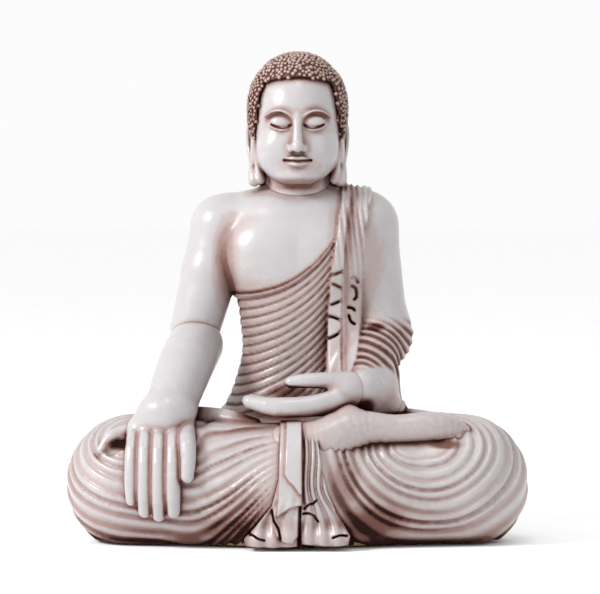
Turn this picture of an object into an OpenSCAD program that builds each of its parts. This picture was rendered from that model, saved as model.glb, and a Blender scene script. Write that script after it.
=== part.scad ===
// Seated statue in cast marble resin: separate hollow and solid castings, pinned together with
// steel dowels, with a closing plate and felt pads underneath.
// Units are millimetres. +Z is up, the figure faces -Y, and the origin is on the floor under the
// middle of the figure. Left and right are the viewer's: the resting hand is at -X.

/* [Overall] */
// Height from the floor to the crown of the head
figure_h = 400; // [333:1:480]
// Width across the two knees
knee_span = 372; // [310:1:447]
// Depth from the front hem to the back
figure_depth = 216; // [180:1:260]
// Width across the shoulders, outside to outside
shoulder_span = 172; // [143:1:207]

/* [Head] */
// Width of the head across the hair
head_w = 80; // [66:1:96]
// Depth of the head from brow to nape
head_d = 94; // [78:1:113]
// Height of the head from chin to crown
head_h = 106; // [88:1:128]
// Diameter of the neck
neck_d = 52; // [43:1:63]
// Height of bare neck between the shoulder line and the chin
neck_gap = 12; // [8:1:18]

/* [Body] */
// Width of the torso at the waist
waist_w = 90; // [75:1:108]
// Depth of the torso at the chest
chest_d = 92; // [78:1:108]
// Height of the seam between the torso and the legs
waist_z = 92; // [80:1:104]

/* [Arms] */
// Diameter of the upper arm at the shoulder
shoulder_d = 51; // [42:1:62]
// Diameter of the bare arm at the elbow
elbow_d = 45; // [37:1:54]
// Diameter of the bare wrist
wrist_d = 37; // [32:1:42]
// Diameter of a finger of the resting hand
finger_d = 10.6; // [9:0.1:12.4]
// Length of the longest finger of the resting hand
finger_l = 66; // [56:1:78]
// Diameter of the sleeve over the elbow
sleeve_d = 54; // [46:1:62]
// Diameter of the wrist of the lap hand
lap_wrist_d = 27; // [23:1:32]

/* [Legs] */
// Diameter of the robed thigh and knee
thigh_d = 108; // [92:1:124]
// Diameter of the robed shin where it leaves the knee
shin_d = 96; // [82:1:108]
// Diameter of the shins where they cross in front
cross_d = 70; // [60:1:80]
// Length of the bare foot on the thigh
foot_l = 106; // [90:1:124]
// Thickness of the bare foot
foot_t = 24; // [20:1:29]

/* [Front cloth] */
// Width of the hanging cloth
cloth_w = 20; // [16:1:26]
// Width of its spread hem on the floor
hem_w = 84; // [70:1:100]
// How far the cloth stands proud of the shins
cloth_t = 6; // [4.5:0.1:8]

/* [Casting] */
// Wall of the hollow castings
wall = 9; // [7:0.5:11]
// Glue line between two castings
joint_gap = 0.3; // [0.2:0.05:0.6]
// Diameter of the neck and waist dowels
dowel_d = 8; // [6:0.5:10]
// Diameter of the dowels in the arms, the foot and the cloth
pin_d = 5; // [4:0.5:6]
// Radial clearance of a dowel in its hole
dowel_clear = 0.1; // [0.05:0.05:0.2]
// Thickness of the closing plate
plate_t = 5; // [4:0.5:7]
// Width of the casting's rim around the closing plate
rim_w = 12; // [9:0.5:15]
// Width of the ledge that the closing plate sits on
ledge_w = 6; // [4:0.5:8]
// Side clearance of the closing plate
plate_clear = 0.4; // [0.2:0.1:0.8]
// Diameter of a felt pad
pad_d = 26; // [20:1:32]
// Thickness of a felt pad
pad_t = 2; // [1.5:0.25:3]

/* [Hidden] */

smooth_fn = 26;   // facets round an outer form
plain_fn = 16;    // facets round a hand or an inner wall
hole_fn = 48;     // facets round a dowel and its hole
eps = 0.01;       // overlap of cuts past a face

// Heights
shoulder_top = figure_h - head_h - neck_gap;
shoulder_z = shoulder_top - shoulder_d / 2;
neck_seat_z = shoulder_top - 6;
chin_z = figure_h - head_h;
function torso_z(share) = waist_z + share * (shoulder_z - waist_z);

// Places of the body, from front to back
front_y = -figure_depth / 2;
back_y = figure_depth / 2;
hip_r = 52;
hip_y = back_y - hip_r;
torso_y = back_y - 70;
neck_y = torso_y - 4;
head_y = neck_y - 8;

// Legs
thigh_r = thigh_d / 2;
shin_r = shin_d / 2;
cross_r = cross_d / 2;
knee_sink = 6;     // how far the knee ball reaches below the floor, where it is cut flat
knee_x = knee_span / 2 - thigh_r;
knee_y = -0.12 * figure_depth;
knee_z = thigh_r - knee_sink;
hip_x = 45;
hip_z = 52;
seat_r = 44;
seat_x = 26;
shin_side_z = shin_r - knee_sink + 4;
cross_y = front_y + cloth_t + cross_r;
cross_low_z = cross_r + 5;
cross_high_z = waist_z + 8 - cross_r;
lap_top_z = cross_high_z + cross_r;

// Bare arm and the resting hand
right_shoulder = [shoulder_d / 2 - shoulder_span / 2 - 3, torso_y, shoulder_z];
left_shoulder = [shoulder_span / 2 - shoulder_d / 2 - 3, torso_y, shoulder_z];
palm_x = 22 - knee_x;
right_elbow = [(right_shoulder.x + palm_x) / 2 + 3, torso_y - 10, torso_z(0.52)];
right_wrist = [palm_x + 11, -0.23 * figure_depth, lap_top_z + 13];
knuckle_y = knee_y - shin_r - 5;
knuckle_z = shin_side_z + 40;
finger_pitch = finger_d + 1.4;
finger_share = [0.80, 0.96, 1, 0.96];    // length of each finger, from the little finger

// Sleeve and the lap hand
left_elbow = [left_shoulder.x + 10, torso_y - 4, torso_z(0.44)];
left_cuff = [48, torso_y - 78, lap_top_z + 24];
lap_wrist = [43, left_cuff.y - 7, left_cuff.z - 2];
lap_finger_r = 6.2;
lap_finger_z = lap_top_z + lap_finger_r + 2;

// Bare foot on the thigh
foot_r = foot_t / 2;
heel = [40, cross_y - 2, lap_top_z - 8];
toes = [heel.x + foot_l - foot_r, knee_y - 24, lap_top_z - 9];

// Base: the outline underneath is a hull round three pairs of circles
casting_z = pad_t;
base_knee = [knee_x, knee_y + 2];
base_knee_r = 34;
base_hip = [hip_x, hip_y + 2];
base_hip_r = hip_r - 12;
base_shin = [20, cross_y + 2];
base_shin_r = cross_r - 3;
plate_reach_x = knee_x - 4;
deck_z = waist_z - 22;                  // underside of the solid deck below the torso
pad_x = plate_reach_x - 12;
pad_back_x = 34;
pad_back_y = back_y - 58;

dowel_l = 36;
pin_l = 26;
waist_flare = 20;                       // how far the hips stand out past the waist, each side
waist_post_d = dowel_d + 14;
waist_dowel_x = waist_w / 2 + waist_flare - wall - 4;

// ---------------------------------------------------------------- building blocks

module ball(centre, radius) {
    translate(centre) sphere(r = radius);
}

// A rounded limb between two balls.
module limb(a, radius_a, b, radius_b) {
    hull() {
        ball(a, radius_a);
        ball(b, radius_b);
    }
}

// An egg with its three half-axes.
module egg(centre, half) {
    hull() translate(centre) scale(half) sphere(r = 1);
}

// One slice of the torso: [height share, half width, half depth, shift in y].
module torso_slice(slice, grow) {
    translate([0, torso_y + slice[3], torso_z(slice[0])])
        scale([slice[1] + grow, slice[2] + grow, 1])
            cylinder(r = 1, h = 0.5, center = true);
}

// A straight hole or dowel, centred on a point and lying along a direction.
module rod(middle, along, diameter, length) {
    turn_z = atan2(along.y, along.x);
    turn_y = acos(along.z / norm(along));
    translate(middle) rotate([0, turn_y, turn_z])
        cylinder(d = diameter, h = length, center = true, $fn = hole_fn);
}

module mirrored_x() {
    children();
    mirror([1, 0, 0]) children();
}

// The outline of the base, drawn in by inset.
module footprint(inset) {
    hull() {
        mirrored_x() {
            translate(base_knee) circle(r = base_knee_r - inset, $fn = hole_fn);
            translate(base_hip) circle(r = base_hip_r - inset, $fn = hole_fn);
            translate(base_shin) circle(r = base_shin_r - inset, $fn = hole_fn);
        }
    }
}

// ---------------------------------------------------------------- forms of the body
// Each form can be grown to cut its seat in a neighbour, or drawn in to make a hollow.

torso_slices = [
    [0.00, waist_w / 2 + waist_flare, chest_d / 2 + 3, 0],
    [0.11, waist_w / 2 + 13, chest_d / 2 - 2, 0],
    [0.22, waist_w / 2 + 5, chest_d / 2 - 6, -1],
    [0.38, waist_w / 2, chest_d / 2 - 7, -3],
    [0.54, waist_w / 2 + 2, chest_d / 2 - 5, -4],
    [0.68, waist_w / 2 + 7, chest_d / 2 - 1, -5],
    [0.82, waist_w / 2 + 13, chest_d / 2, -4],
    [0.94, waist_w / 2 + 15, chest_d / 2 - 4, -1],
];

module trunk_form(grow = 0) {
    for (i = [0 : len(torso_slices) - 2])
        hull() {
            torso_slice(torso_slices[i], grow);
            torso_slice(torso_slices[i + 1], grow);
        }
    hull() {
        torso_slice(torso_slices[len(torso_slices) - 1], grow);
        ball(right_shoulder, shoulder_d / 2 + grow);
        ball(left_shoulder, shoulder_d / 2 + grow);
    }
}

module sleeve_form(grow = 0) {
    sleeve_r = sleeve_d / 2 + grow;
    limb(left_shoulder, shoulder_d / 2 + grow, left_elbow, sleeve_r);
    limb(left_elbow, sleeve_r, left_cuff, lap_wrist_d / 2 + 6 + grow);
    // the cloth that falls from the cuff to the thigh
    hull() {
        ball(left_cuff, lap_wrist_d / 2 + 5 + grow);
        ball([left_cuff.x + 12, left_cuff.y + 16, lap_top_z + 10], 11 + grow);
        ball([left_elbow.x + 12, left_elbow.y - 12, lap_top_z + 16], 11 + grow);
        ball([left_elbow.x, left_elbow.y, left_elbow.z - 16], sleeve_r - 12);
    }
}

module shoulder_cloth_form() {
    fold_r = 9;
    chest_y = torso_y - chest_d / 2;
    limb([44, torso_y - 6, shoulder_top - 5], fold_r, [42, chest_y + 8, shoulder_z - 6], fold_r);
    limb([42, chest_y + 8, shoulder_z - 6], fold_r, [38, chest_y + 2, torso_z(0.7)], fold_r);
    limb([38, chest_y + 2, torso_z(0.7)], fold_r, [33, chest_y + 5, torso_z(0.3)], fold_r);
}

module torso_form(grow = 0) {
    trunk_form(grow);
    sleeve_form(grow);
    limb(right_shoulder, shoulder_d / 2 + grow, right_elbow, elbow_d / 2 + grow);
}

module neck_form(grow = 0) {
    translate([0, neck_y, neck_seat_z - grow])
        cylinder(r = neck_d / 2 + grow, h = chin_z + 20 - neck_seat_z);
}

module head_form() {
    neck_form();
    egg([0, head_y + 4, figure_h - head_h * 0.44], [head_w / 2, head_d / 2, head_h * 0.43]);
    egg([0, head_y - 6, chin_z + head_h * 0.3], [head_w * 0.39, head_d * 0.4, head_h * 0.3]);
    egg([0, head_y + 8, figure_h - head_h * 0.13], [head_w * 0.29, head_d * 0.26, head_h * 0.13]);
    limb([0, head_y - head_d * 0.4, chin_z + head_h * 0.45], 7,
         [0, head_y - head_d * 0.44, chin_z + head_h * 0.33], 6, $fn = plain_fn);
    mirrored_x() {
        limb([head_w * 0.48, head_y + 6, chin_z + head_h * 0.5], 5,
             [head_w * 0.42, head_y, chin_z + 2], 5, $fn = plain_fn);
        limb([head_w * 0.48, head_y + 12, chin_z + head_h * 0.5], 5,
             [head_w * 0.48, head_y + 6, chin_z + head_h * 0.3], 4, $fn = plain_fn);
    }
}

module finger(share, x, grow) {
    tip_z = knuckle_z - finger_l * share;
    root = [x, knuckle_y, knuckle_z - 2];
    bend = [x, knuckle_y - 9, knuckle_z - finger_l * 0.36];
    tip = [x, knuckle_y - 9, tip_z + finger_d / 2];
    limb(root, finger_d / 2 + grow, bend, finger_d / 2 + grow);
    limb(bend, finger_d / 2 + grow, tip, finger_d / 2 - 0.6 + grow);
}

module resting_hand_form(grow = 0) {
    hull() {
        ball(right_wrist, wrist_d / 2 + grow);
        ball([palm_x - 1.5 * finger_pitch, knuckle_y, knuckle_z], finger_d / 2 + 1 + grow);
        ball([palm_x + 1.5 * finger_pitch, knuckle_y, knuckle_z + 2], finger_d / 2 + 2 + grow);
    }
    for (i = [0 : 3])
        finger(finger_share[i], palm_x + (i - 1.5) * finger_pitch, grow, $fn = plain_fn);
    // thumb
    thumb_x = palm_x + 2.55 * finger_pitch;
    limb([right_wrist.x + 6, right_wrist.y - 8, knuckle_z + 14], finger_d / 2 + 4 + grow,
         [thumb_x, knuckle_y - 3, knuckle_z - 8], finger_d / 2 + 1.4 + grow, $fn = plain_fn);
    limb([thumb_x, knuckle_y - 3, knuckle_z - 8], finger_d / 2 + 1.4 + grow,
         [thumb_x, knuckle_y - 6, knuckle_z - finger_l * 0.45], finger_d / 2 + 0.6 + grow,
         $fn = plain_fn);
}

module lap_hand_form(grow = 0) {
    palm = [lap_wrist.x - 24, lap_wrist.y - 16, lap_finger_z + 4];
    hull() {
        ball(lap_wrist, lap_wrist_d / 2 + grow);
        ball([palm.x - 2, palm.y - 12, lap_finger_z], lap_finger_r + 1 + grow);
        ball([palm.x - 2, palm.y + 18, lap_finger_z + 2], lap_finger_r + 1 + grow);
    }
    for (i = [0 : 3]) {
        y = palm.y - 12 + i * 10;
        limb([palm.x, y, lap_finger_z], lap_finger_r + grow,
             [palm.x - 63 + i * 3, y + 4, lap_finger_z + 4], lap_finger_r - 1 + grow,
             $fn = plain_fn);
    }
    limb([lap_wrist.x - 8, lap_wrist.y + 2, lap_wrist.z + 4], 9 + grow,
         [palm.x - 10, palm.y + 22, lap_finger_z + 18], 7 + grow, $fn = plain_fn);
    limb([palm.x - 10, palm.y + 22, lap_finger_z + 18], 7 + grow,
         [palm.x - 30, palm.y + 22, lap_finger_z + 17], 5.5 + grow, $fn = plain_fn);
}

module legs_form(grow = 0) {
    mirrored_x() {
        limb([hip_x, hip_y, hip_z], hip_r + grow, [knee_x, knee_y, knee_z], thigh_r + grow);
    }
    limb([knee_x - 4, knee_y - 6, shin_side_z], shin_r + grow,
         [0, cross_y, cross_low_z], cross_r + grow);
    limb([4 - knee_x, knee_y - 6, shin_side_z], shin_r + grow,
         [0, cross_y, cross_high_z], cross_r + grow);
    // lap between the thighs, and the seat behind them
    egg([0, hip_y - 56, waist_z / 2 + 4], [88 + grow, 66 + grow, waist_z / 2 + grow]);
    limb([-seat_x, back_y - seat_r - 2, hip_z - 4], seat_r + grow,
         [seat_x, back_y - seat_r - 2, hip_z - 4], seat_r + grow);
}

module foot_form(grow = 0) {
    ankle = [heel.x - 32, cross_y - 8, heel.z - 14];
    limb(ankle, foot_r + 8 + grow, heel, foot_r + 4 + grow);
    limb(heel, foot_r + 4 + grow, toes, foot_r - 2 + grow);
    limb([heel.x + 6, heel.y + 4, heel.z + 10], 9 + grow, heel, foot_r + grow);
    for (i = [0 : 4])
        limb([toes.x - 4, toes.y + (i - 1) * 5, toes.z + 4], 4 + grow,
             [toes.x + 10 - i * 2, toes.y + 3 + (i - 1) * 5, toes.z], 4 + grow, $fn = 12);
}

module cloth_form(grow = 0) {
    cloth_r = cloth_t / 2 + grow;
    top = lap_top_z - 2;
    face_y = front_y + cloth_t / 2;
    left_x = 4 - cloth_w;
    // the hanging part, in three lengths down the front of the shins
    for (side = [left_x + cloth_t / 2, 4 - cloth_t / 2])
        limb([side, face_y + 24, top], cloth_r, [side, face_y + 2, top - 24], cloth_r);
    hull() {
        for (x = [left_x + cloth_t / 2, 4 - cloth_t / 2]) {
            ball([x, face_y + 24, top], cloth_r);
            ball([x, face_y + 2, top - 24], cloth_r);
            ball([x, face_y + 12, top - 30], cloth_r);
        }
    }
    hull() {
        for (x = [left_x + cloth_t / 2, 4 - cloth_t / 2]) {
            ball([x, face_y + 2, top - 24], cloth_r);
            ball([x, face_y, 40], cloth_r);
            ball([x, face_y + 10, 40], cloth_r);
        }
    }
    // the hem that spreads on the floor
    hull() {
        for (x = [left_x + cloth_t / 2, 4 - cloth_t / 2])
            ball([x, face_y, 40], cloth_r);
        for (x = [cloth_t / 2 - hem_w / 2, hem_w / 2 - cloth_t / 2]) {
            ball([x, face_y + 6, casting_z + 2], cloth_r);
            ball([x * 0.5, face_y, casting_z + 1], cloth_r);
            ball([x * 0.8, face_y + 9, casting_z + 4], cloth_r);
        }
    }
}

module above(z) {
    size = 2 * knee_span;
    translate([-size / 2, -size / 2, z]) cube([size, size, 2 * figure_h]);
}

module below(z) {
    mirror([0, 0, 1]) above(-z);
}

// ---------------------------------------------------------------- dowels
// Each dowel is drawn once, for the steel, and once more a little larger, for its holes.

module neck_rod(extra = 0) {
    rod([0, neck_y, neck_seat_z], [0, 0, 1], dowel_d + 2 * extra, dowel_l + 2 * extra);
}

module elbow_rod(extra = 0) {
    arm = right_elbow - right_shoulder;
    middle = right_elbow - arm / norm(arm) * (elbow_d / 2 - 1);
    rod(middle, arm, pin_d + 2 * extra, pin_l + 2 * extra);
}

module wrist_rod(extra = 0) {
    rod(lap_wrist + [6, 3, 1], left_elbow - lap_wrist, pin_d + 2 * extra, pin_l + 2 * extra);
}

module waist_rods(extra = 0) {
    for (x = [-waist_dowel_x, waist_dowel_x])
        rod([x, torso_y, waist_z], [0, 0, 1], dowel_d + 2 * extra, dowel_l + 2 * extra);
}

module palm_rod(extra = 0) {
    rod([palm_x + 4, knuckle_y + 16, knuckle_z - 2], [0, -0.5, 1], pin_d + 2 * extra,
        pin_l + 2 * extra);
}

module foot_rods(extra = 0) {
    for (share = [0.35, 0.75]) {
        at = heel + share * (toes - heel);
        rod(at + [0, 6, -12], [0, -0.4, 1], pin_d + 2 * extra, pin_l + 2 * extra);
    }
}

module cloth_rods(extra = 0) {
    for (z = [18, 46])
        rod([-4, front_y + cloth_t / 2 + 10, z], [0, 1, 0], pin_d - 1 + 2 * extra,
            pin_l - 8 + 2 * extra);
}

// ---------------------------------------------------------------- the pieces

module head() {
    color("gainsboro") difference() {
        head_form($fn = smooth_fn);
        neck_rod(dowel_clear);
    }
}

module torso() {
    color("gainsboro") difference() {
        union() {
            torso_form($fn = smooth_fn);
            shoulder_cloth_form($fn = plain_fn);
        }
        // flat seam at the waist
        below(waist_z + joint_gap);
        neck_form(joint_gap, $fn = hole_fn);
        ball(right_elbow, elbow_d / 2 + joint_gap, $fn = smooth_fn);
        resting_forearm_form(joint_gap, $fn = smooth_fn);
        lap_hand_form(joint_gap, $fn = plain_fn);
        // hollow, open at the waist, with a post left round each waist dowel
        difference() {
            intersection() {
                trunk_form(-wall, $fn = plain_fn);
                below(shoulder_z - 12);
            }
            for (x = [-waist_dowel_x, waist_dowel_x])
                translate([x, torso_y, waist_z])
                    cylinder(d = waist_post_d, h = dowel_l / 2 + 8, $fn = plain_fn);
        }
        neck_rod(dowel_clear);
        elbow_rod(dowel_clear);
        wrist_rod(dowel_clear);
        waist_rods(dowel_clear);
    }
}

module resting_forearm_form(grow = 0) {
    limb(right_elbow, elbow_d / 2 + grow, right_wrist, wrist_d / 2 + grow);
}

module right_forearm() {
    color("gainsboro") difference() {
        union() {
            resting_forearm_form($fn = smooth_fn);
            resting_hand_form($fn = smooth_fn);
        }
        elbow_rod(dowel_clear);
        palm_rod(dowel_clear);
    }
}

module left_hand() {
    color("gainsboro") difference() {
        lap_hand_form($fn = plain_fn);
        wrist_rod(dowel_clear);
    }
}

module legs() {
    color("gainsboro") difference() {
        union() {
            legs_form($fn = smooth_fn);
            translate([0, 0, casting_z]) linear_extrude(10) footprint(0);
        }
        // flat underside
        below(casting_z);
        // seats for the castings that stand on the legs
        intersection() {
            torso_form(joint_gap, $fn = smooth_fn);
            above(waist_z);
        }
        resting_forearm_form(joint_gap, $fn = smooth_fn);
        resting_hand_form(joint_gap, $fn = smooth_fn);
        lap_hand_form(joint_gap, $fn = plain_fn);
        foot_form(joint_gap, $fn = smooth_fn);
        cloth_form(joint_gap, $fn = plain_fn);
        // hollow, open below, under a solid deck
        intersection() {
            union() {
                legs_form(-wall - 2, $fn = plain_fn);
                below(knee_z);
            }
            translate([0, 0, casting_z - eps])
                linear_extrude(deck_z - casting_z) footprint(rim_w + ledge_w);
        }
        translate([0, 0, casting_z - eps]) linear_extrude(plate_t + eps) footprint(rim_w);
        waist_rods(dowel_clear);
        palm_rod(dowel_clear);
        foot_rods(dowel_clear);
        cloth_rods(dowel_clear);
    }
}

module right_foot() {
    color("gainsboro") difference() {
        foot_form($fn = smooth_fn);
        cloth_form(joint_gap, $fn = plain_fn);
        lap_hand_form(joint_gap, $fn = plain_fn);
        intersection() {
            torso_form(joint_gap, $fn = smooth_fn);
            above(waist_z);
        }
        foot_rods(dowel_clear);
    }
}

module front_cloth() {
    color("gainsboro") difference() {
        cloth_form($fn = plain_fn);
        lap_hand_form(joint_gap, $fn = plain_fn);
        below(casting_z);
        cloth_rods(dowel_clear);
    }
}

module neck_dowel() {
    color("silver") neck_rod();
}

module elbow_dowel() {
    color("silver") elbow_rod();
}

module wrist_dowel() {
    color("silver") wrist_rod();
}

module waist_dowels() {
    color("silver") waist_rods();
}

module palm_dowel() {
    color("silver") palm_rod();
}

module foot_dowels() {
    color("silver") foot_rods();
}

module cloth_dowels() {
    color("silver") cloth_rods();
}

module base_plate() {
    color("burlywood") translate([0, 0, casting_z])
        linear_extrude(plate_t) footprint(rim_w + plate_clear);
}

module felt_pads() {
    color("dimgray") {
        for (side = [-1, 1]) {
            translate([side * pad_x, knee_y, 0]) cylinder(d = pad_d, h = pad_t, $fn = hole_fn);
            translate([side * pad_back_x, pad_back_y, 0])
                cylinder(d = pad_d, h = pad_t, $fn = hole_fn);
        }
    }
}

head();
torso();
right_forearm();
left_hand();
legs();
right_foot();
front_cloth();
neck_dowel();
elbow_dowel();
wrist_dowel();
waist_dowels();
palm_dowel();
foot_dowels();
cloth_dowels();
base_plate();
felt_pads();
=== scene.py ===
"""Seated statue in cast marble resin: the finished look, sculpted round the statue's own frame.

Every casting is a distance field in millimetres, made of balls, limbs and eggs that melt into each
other. The field is sampled near its surface, skinned with quads, and its corners are settled on
the surface. Folds are ridges added to the field. Length units in the sculpting functions are
millimetres; meshes are stored in metres.
"""

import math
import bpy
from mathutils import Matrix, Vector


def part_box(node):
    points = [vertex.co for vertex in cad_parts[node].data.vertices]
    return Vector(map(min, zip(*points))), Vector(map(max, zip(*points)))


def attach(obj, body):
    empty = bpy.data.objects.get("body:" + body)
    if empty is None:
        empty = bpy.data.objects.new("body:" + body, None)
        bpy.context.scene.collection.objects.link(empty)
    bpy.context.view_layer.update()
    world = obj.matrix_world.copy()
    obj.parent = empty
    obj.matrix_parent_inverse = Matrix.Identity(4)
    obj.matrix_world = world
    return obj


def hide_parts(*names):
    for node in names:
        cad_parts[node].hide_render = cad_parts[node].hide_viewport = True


bl_info = {
    "name": "Seated Statue",
    "version": (1, 0, 0),
    "blender": (4, 5, 0),
    "location": "View3D > Sidebar > Statue",
    "description": "Sculpts a seated figure in cast marble resin with an antique wash",
    "category": "Add Mesh",
}

import bpy
import numpy as np
import openvdb
from bpy.props import FloatProperty, IntProperty, PointerProperty, StringProperty
from mathutils import Vector

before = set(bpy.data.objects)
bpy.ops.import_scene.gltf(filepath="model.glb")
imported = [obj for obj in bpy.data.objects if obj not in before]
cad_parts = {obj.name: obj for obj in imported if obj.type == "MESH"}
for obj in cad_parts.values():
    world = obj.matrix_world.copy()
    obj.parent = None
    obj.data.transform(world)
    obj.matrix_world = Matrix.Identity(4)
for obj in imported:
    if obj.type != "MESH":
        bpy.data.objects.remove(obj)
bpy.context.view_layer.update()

MM = 0.001

# Camera: metres off, degrees above level, the point it looks at in metres, lens and sensor in mm
EYE_DISTANCE = 2.6
EYE_ANGLE = 2.0
AIM = (0.002, 0, 0.197)
LENS, SENSOR = 191.0, 36.0

# Lamps: name, place in metres, side in metres, watts. They aim at the middle of the figure.
LAMPS = (
    ("key", (-1.75, -0.95, 1.45), 0.6, 50),
    ("top", (0.05, -0.55, 1.8), 0.4, 4),
)
LAMPS_AIM = (0, 0, 0.22)
SKY = 0.97  # strength of the even light from all round


# ---------------------------------------------------------------- the frame, in millimetres


def vec(x, y, z):
    return np.array([x, y, z], np.float32)


def node_box(node):
    """Lowest and highest corner of a CAD node."""
    low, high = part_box(node)
    return np.array(low, np.float32) / MM, np.array(high, np.float32) / MM


def centre(node):
    low, high = node_box(node)
    return (low + high) / 2


HEAD_LOW, HEAD_HIGH = node_box("head")
TORSO_HIGH = node_box("torso")[1]
LEGS_LOW, LEGS_HIGH = node_box("legs")
PLATE_HIGH = node_box("base_plate")[1]
NECK = centre("neck_dowel")
FLOOR = float(LEGS_LOW[2])


def outline_from_above(node):
    """Outline of a CAD node seen from above, round its middle."""
    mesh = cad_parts[node].data
    points = np.array([v.co[:2] for v in mesh.vertices], np.float32) / MM
    turn = np.degrees(np.arctan2(points[:, 1] - points[:, 1].mean(), points[:, 0]))
    out = []
    for low in range(-180, 180, 6):
        near = points[(turn >= low) & (turn < low + 6)]
        if len(near):
            out.append(near[np.argmax(np.hypot(near[:, 0], near[:, 1]))])
    return np.array(out, np.float32)


PLATE_OUTLINE = outline_from_above("base_plate")

# Legs, mirrored left and right
KNEE_R = 54.0
SHIN_R = 48.0
HIP_R = 52.0
KNEE = vec(LEGS_HIGH[0] - KNEE_R, NECK[1] - 60, FLOOR + 46)
HIP = vec(45, LEGS_HIGH[1] - HIP_R, FLOOR + 50)


# ---------------------------------------------------------------- sculpting kit


def length(v):
    return np.sqrt(np.einsum("ij,ij->i", v, v))


def ball(p, at, radius):
    return length(p - at) - radius


def egg(p, at, half):
    """A ball with three half-axes."""
    q = (p - at) / half
    near = length(q)
    return near * (near - 1) / np.maximum(length(q / half), 1e-6)


def limb(p, a, radius_a, b, radius_b):
    """A straight limb whose radius goes from one end's to the other's."""
    along = b - a
    t = np.clip((p - a) @ along / float(along @ along), 0, 1)
    return length(p - a - t[:, None] * along) - (radius_a + (radius_b - radius_a) * t)


def mirrored(p):
    """The points folded onto the +X side."""
    return np.stack([np.abs(p[:, 0]), p[:, 1], p[:, 2]], 1)


def melt(blend, *fields):
    """Union of fields, with fillets about as wide as blend."""
    out = fields[0]
    for field in fields[1:]:
        near = np.maximum(blend - np.abs(out - field), 0) / blend
        out = np.minimum(out, field) - near * near * blend / 4
    return out


def carve(blend, body, tool):
    """The body without the tool, with rounded edges."""
    return -melt(blend, -body, tool)


def smooth(low, high, value):
    """0 below low, 1 above high, and an S-curve between."""
    t = np.clip((value - low) / (high - low), 0, 1)
    return t * t * (3 - 2 * t)


def mix(a, b, share):
    return a + (b - a) * share


def ridges(u, lean=1.25, breadth=3.0):
    """Rounded folds, one to each whole step of u: 1 on a crest, 0 in the groove."""
    share = (u - np.floor(u)) ** lean
    return 1 - np.abs(np.cos(math.pi * share)) ** breadth


def thread(path, steps=3):
    """More points along a path, on a smooth curve through the given ones."""
    path = np.asarray(path, np.float32)
    ends = np.concatenate([2 * path[:1] - path[1:2], path, 2 * path[-1:] - path[-2:-1]])
    out = []
    for i in range(len(path) - 1):
        a, b, c, d = ends[i:i + 4]
        for t in np.arange(steps) / steps:
            out.append(b + 0.5 * t * (c - a + t * (2 * a - 5 * b + 4 * c - d
                                                   + t * (3 * (b - c) + d - a))))
    return np.array(out + [path[-1]], np.float32)


def tube(p, path, radii):
    """A round bar along a smooth path, with a radius at each point of it."""
    bar = thread(np.column_stack([path, radii]))
    out = limb(p, bar[0, :3], bar[0, 3], bar[1, :3], bar[1, 3])
    for a, b in zip(bar[1:-1], bar[2:]):
        out = np.minimum(out, limb(p, a[:3], a[3], b[:3], b[3]))
    return out


def rounded(radius, *fields):
    """What is inside all the fields, with rounded edges."""
    return -melt(2 * radius, *[-field for field in fields])


def flat_edge(p, outline, axes=(0, 2)):
    """Signed distance to an outline drawn in a plane: negative inside."""
    at = p[:, list(axes)]
    best = np.full(len(p), 1e9, np.float32)
    inside = np.zeros(len(p), bool)
    for a, b in zip(outline, np.roll(outline, -1, 0)):
        edge = b - a
        t = np.clip((at - a) @ edge / float(edge @ edge), 0, 1)
        gap = at - a - t[:, None] * edge
        best = np.minimum(best, np.einsum("ij,ij->i", gap, gap))
        crosses = (a[1] > at[:, 1]) != (b[1] > at[:, 1])
        rise = edge[1] if edge[1] else 1e-9
        inside ^= crosses & (at[:, 0] < edge[0] * (at[:, 1] - a[1]) / rise + a[0])
    return np.where(inside, -1, 1) * np.sqrt(best)


def line_gap(p, *lines):
    """Distance in the front view to the nearest of some lines."""
    at = p[:, [0, 2]]
    best = np.full(len(p), 1e9, np.float32)
    for line in lines:
        line = thread(line, 2)
        for a, b in zip(line[:-1], line[1:]):
            edge = b - a
            t = np.clip((at - a) @ edge / float(edge @ edge), 0, 1)
            gap = at - a - t[:, None] * edge
            best = np.minimum(best, np.einsum("ij,ij->i", gap, gap))
    return np.sqrt(best)


LEGS_COARSER = 1.145
SCALP_COARSER = 1.4
SLACK = 4.0  # how much a field may differ from the true distance
BLOCK = 4  # cells along a side of the blocks that are sampled first


def grid(low, step, count):
    axes = [low[i] + step * np.arange(count[i], dtype=np.float32) for i in range(3)]
    return np.stack(np.meshgrid(*axes, indexing="ij"), -1).reshape(-1, 3)


def spread(array):
    for axis in range(3):
        array = np.repeat(array, BLOCK, axis)
    return array


def skin(shape, low, high, cell):
    """Quads round a shape, from a grid that is filled in finely only near the surface."""
    size = cell * BLOCK
    low = np.asarray(low, np.float32) - size
    count = np.ceil((np.asarray(high) - low) / size).astype(int) + 2
    rough = shape(grid(low + cell * (BLOCK - 1) / 2, size, count)).reshape(count)
    near = spread(np.abs(rough) < size * 0.87 + SLACK)
    field = spread(rough).astype(np.float32)
    index = np.argwhere(near)
    field[near] = shape(low + cell * index.astype(np.float32))
    volume = openvdb.FloatGrid(background=float(size))
    volume.copyFromArray(field)
    points, quads = volume.convertToQuads(isovalue=0.0)
    return low + cell * points.astype(np.float32), quads.astype(np.int64)


def slope(shape, points, step=0.25):
    """Gradient of a field, from the corners of a small tetrahedron."""
    out = np.zeros_like(points)
    for corner in ((1, -1, -1), (-1, -1, 1), (-1, 1, -1), (1, 1, 1)):
        corner = np.array(corner, np.float32)
        out += shape(points + step * corner)[:, None] * corner
    return out / (4 * step)


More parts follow.
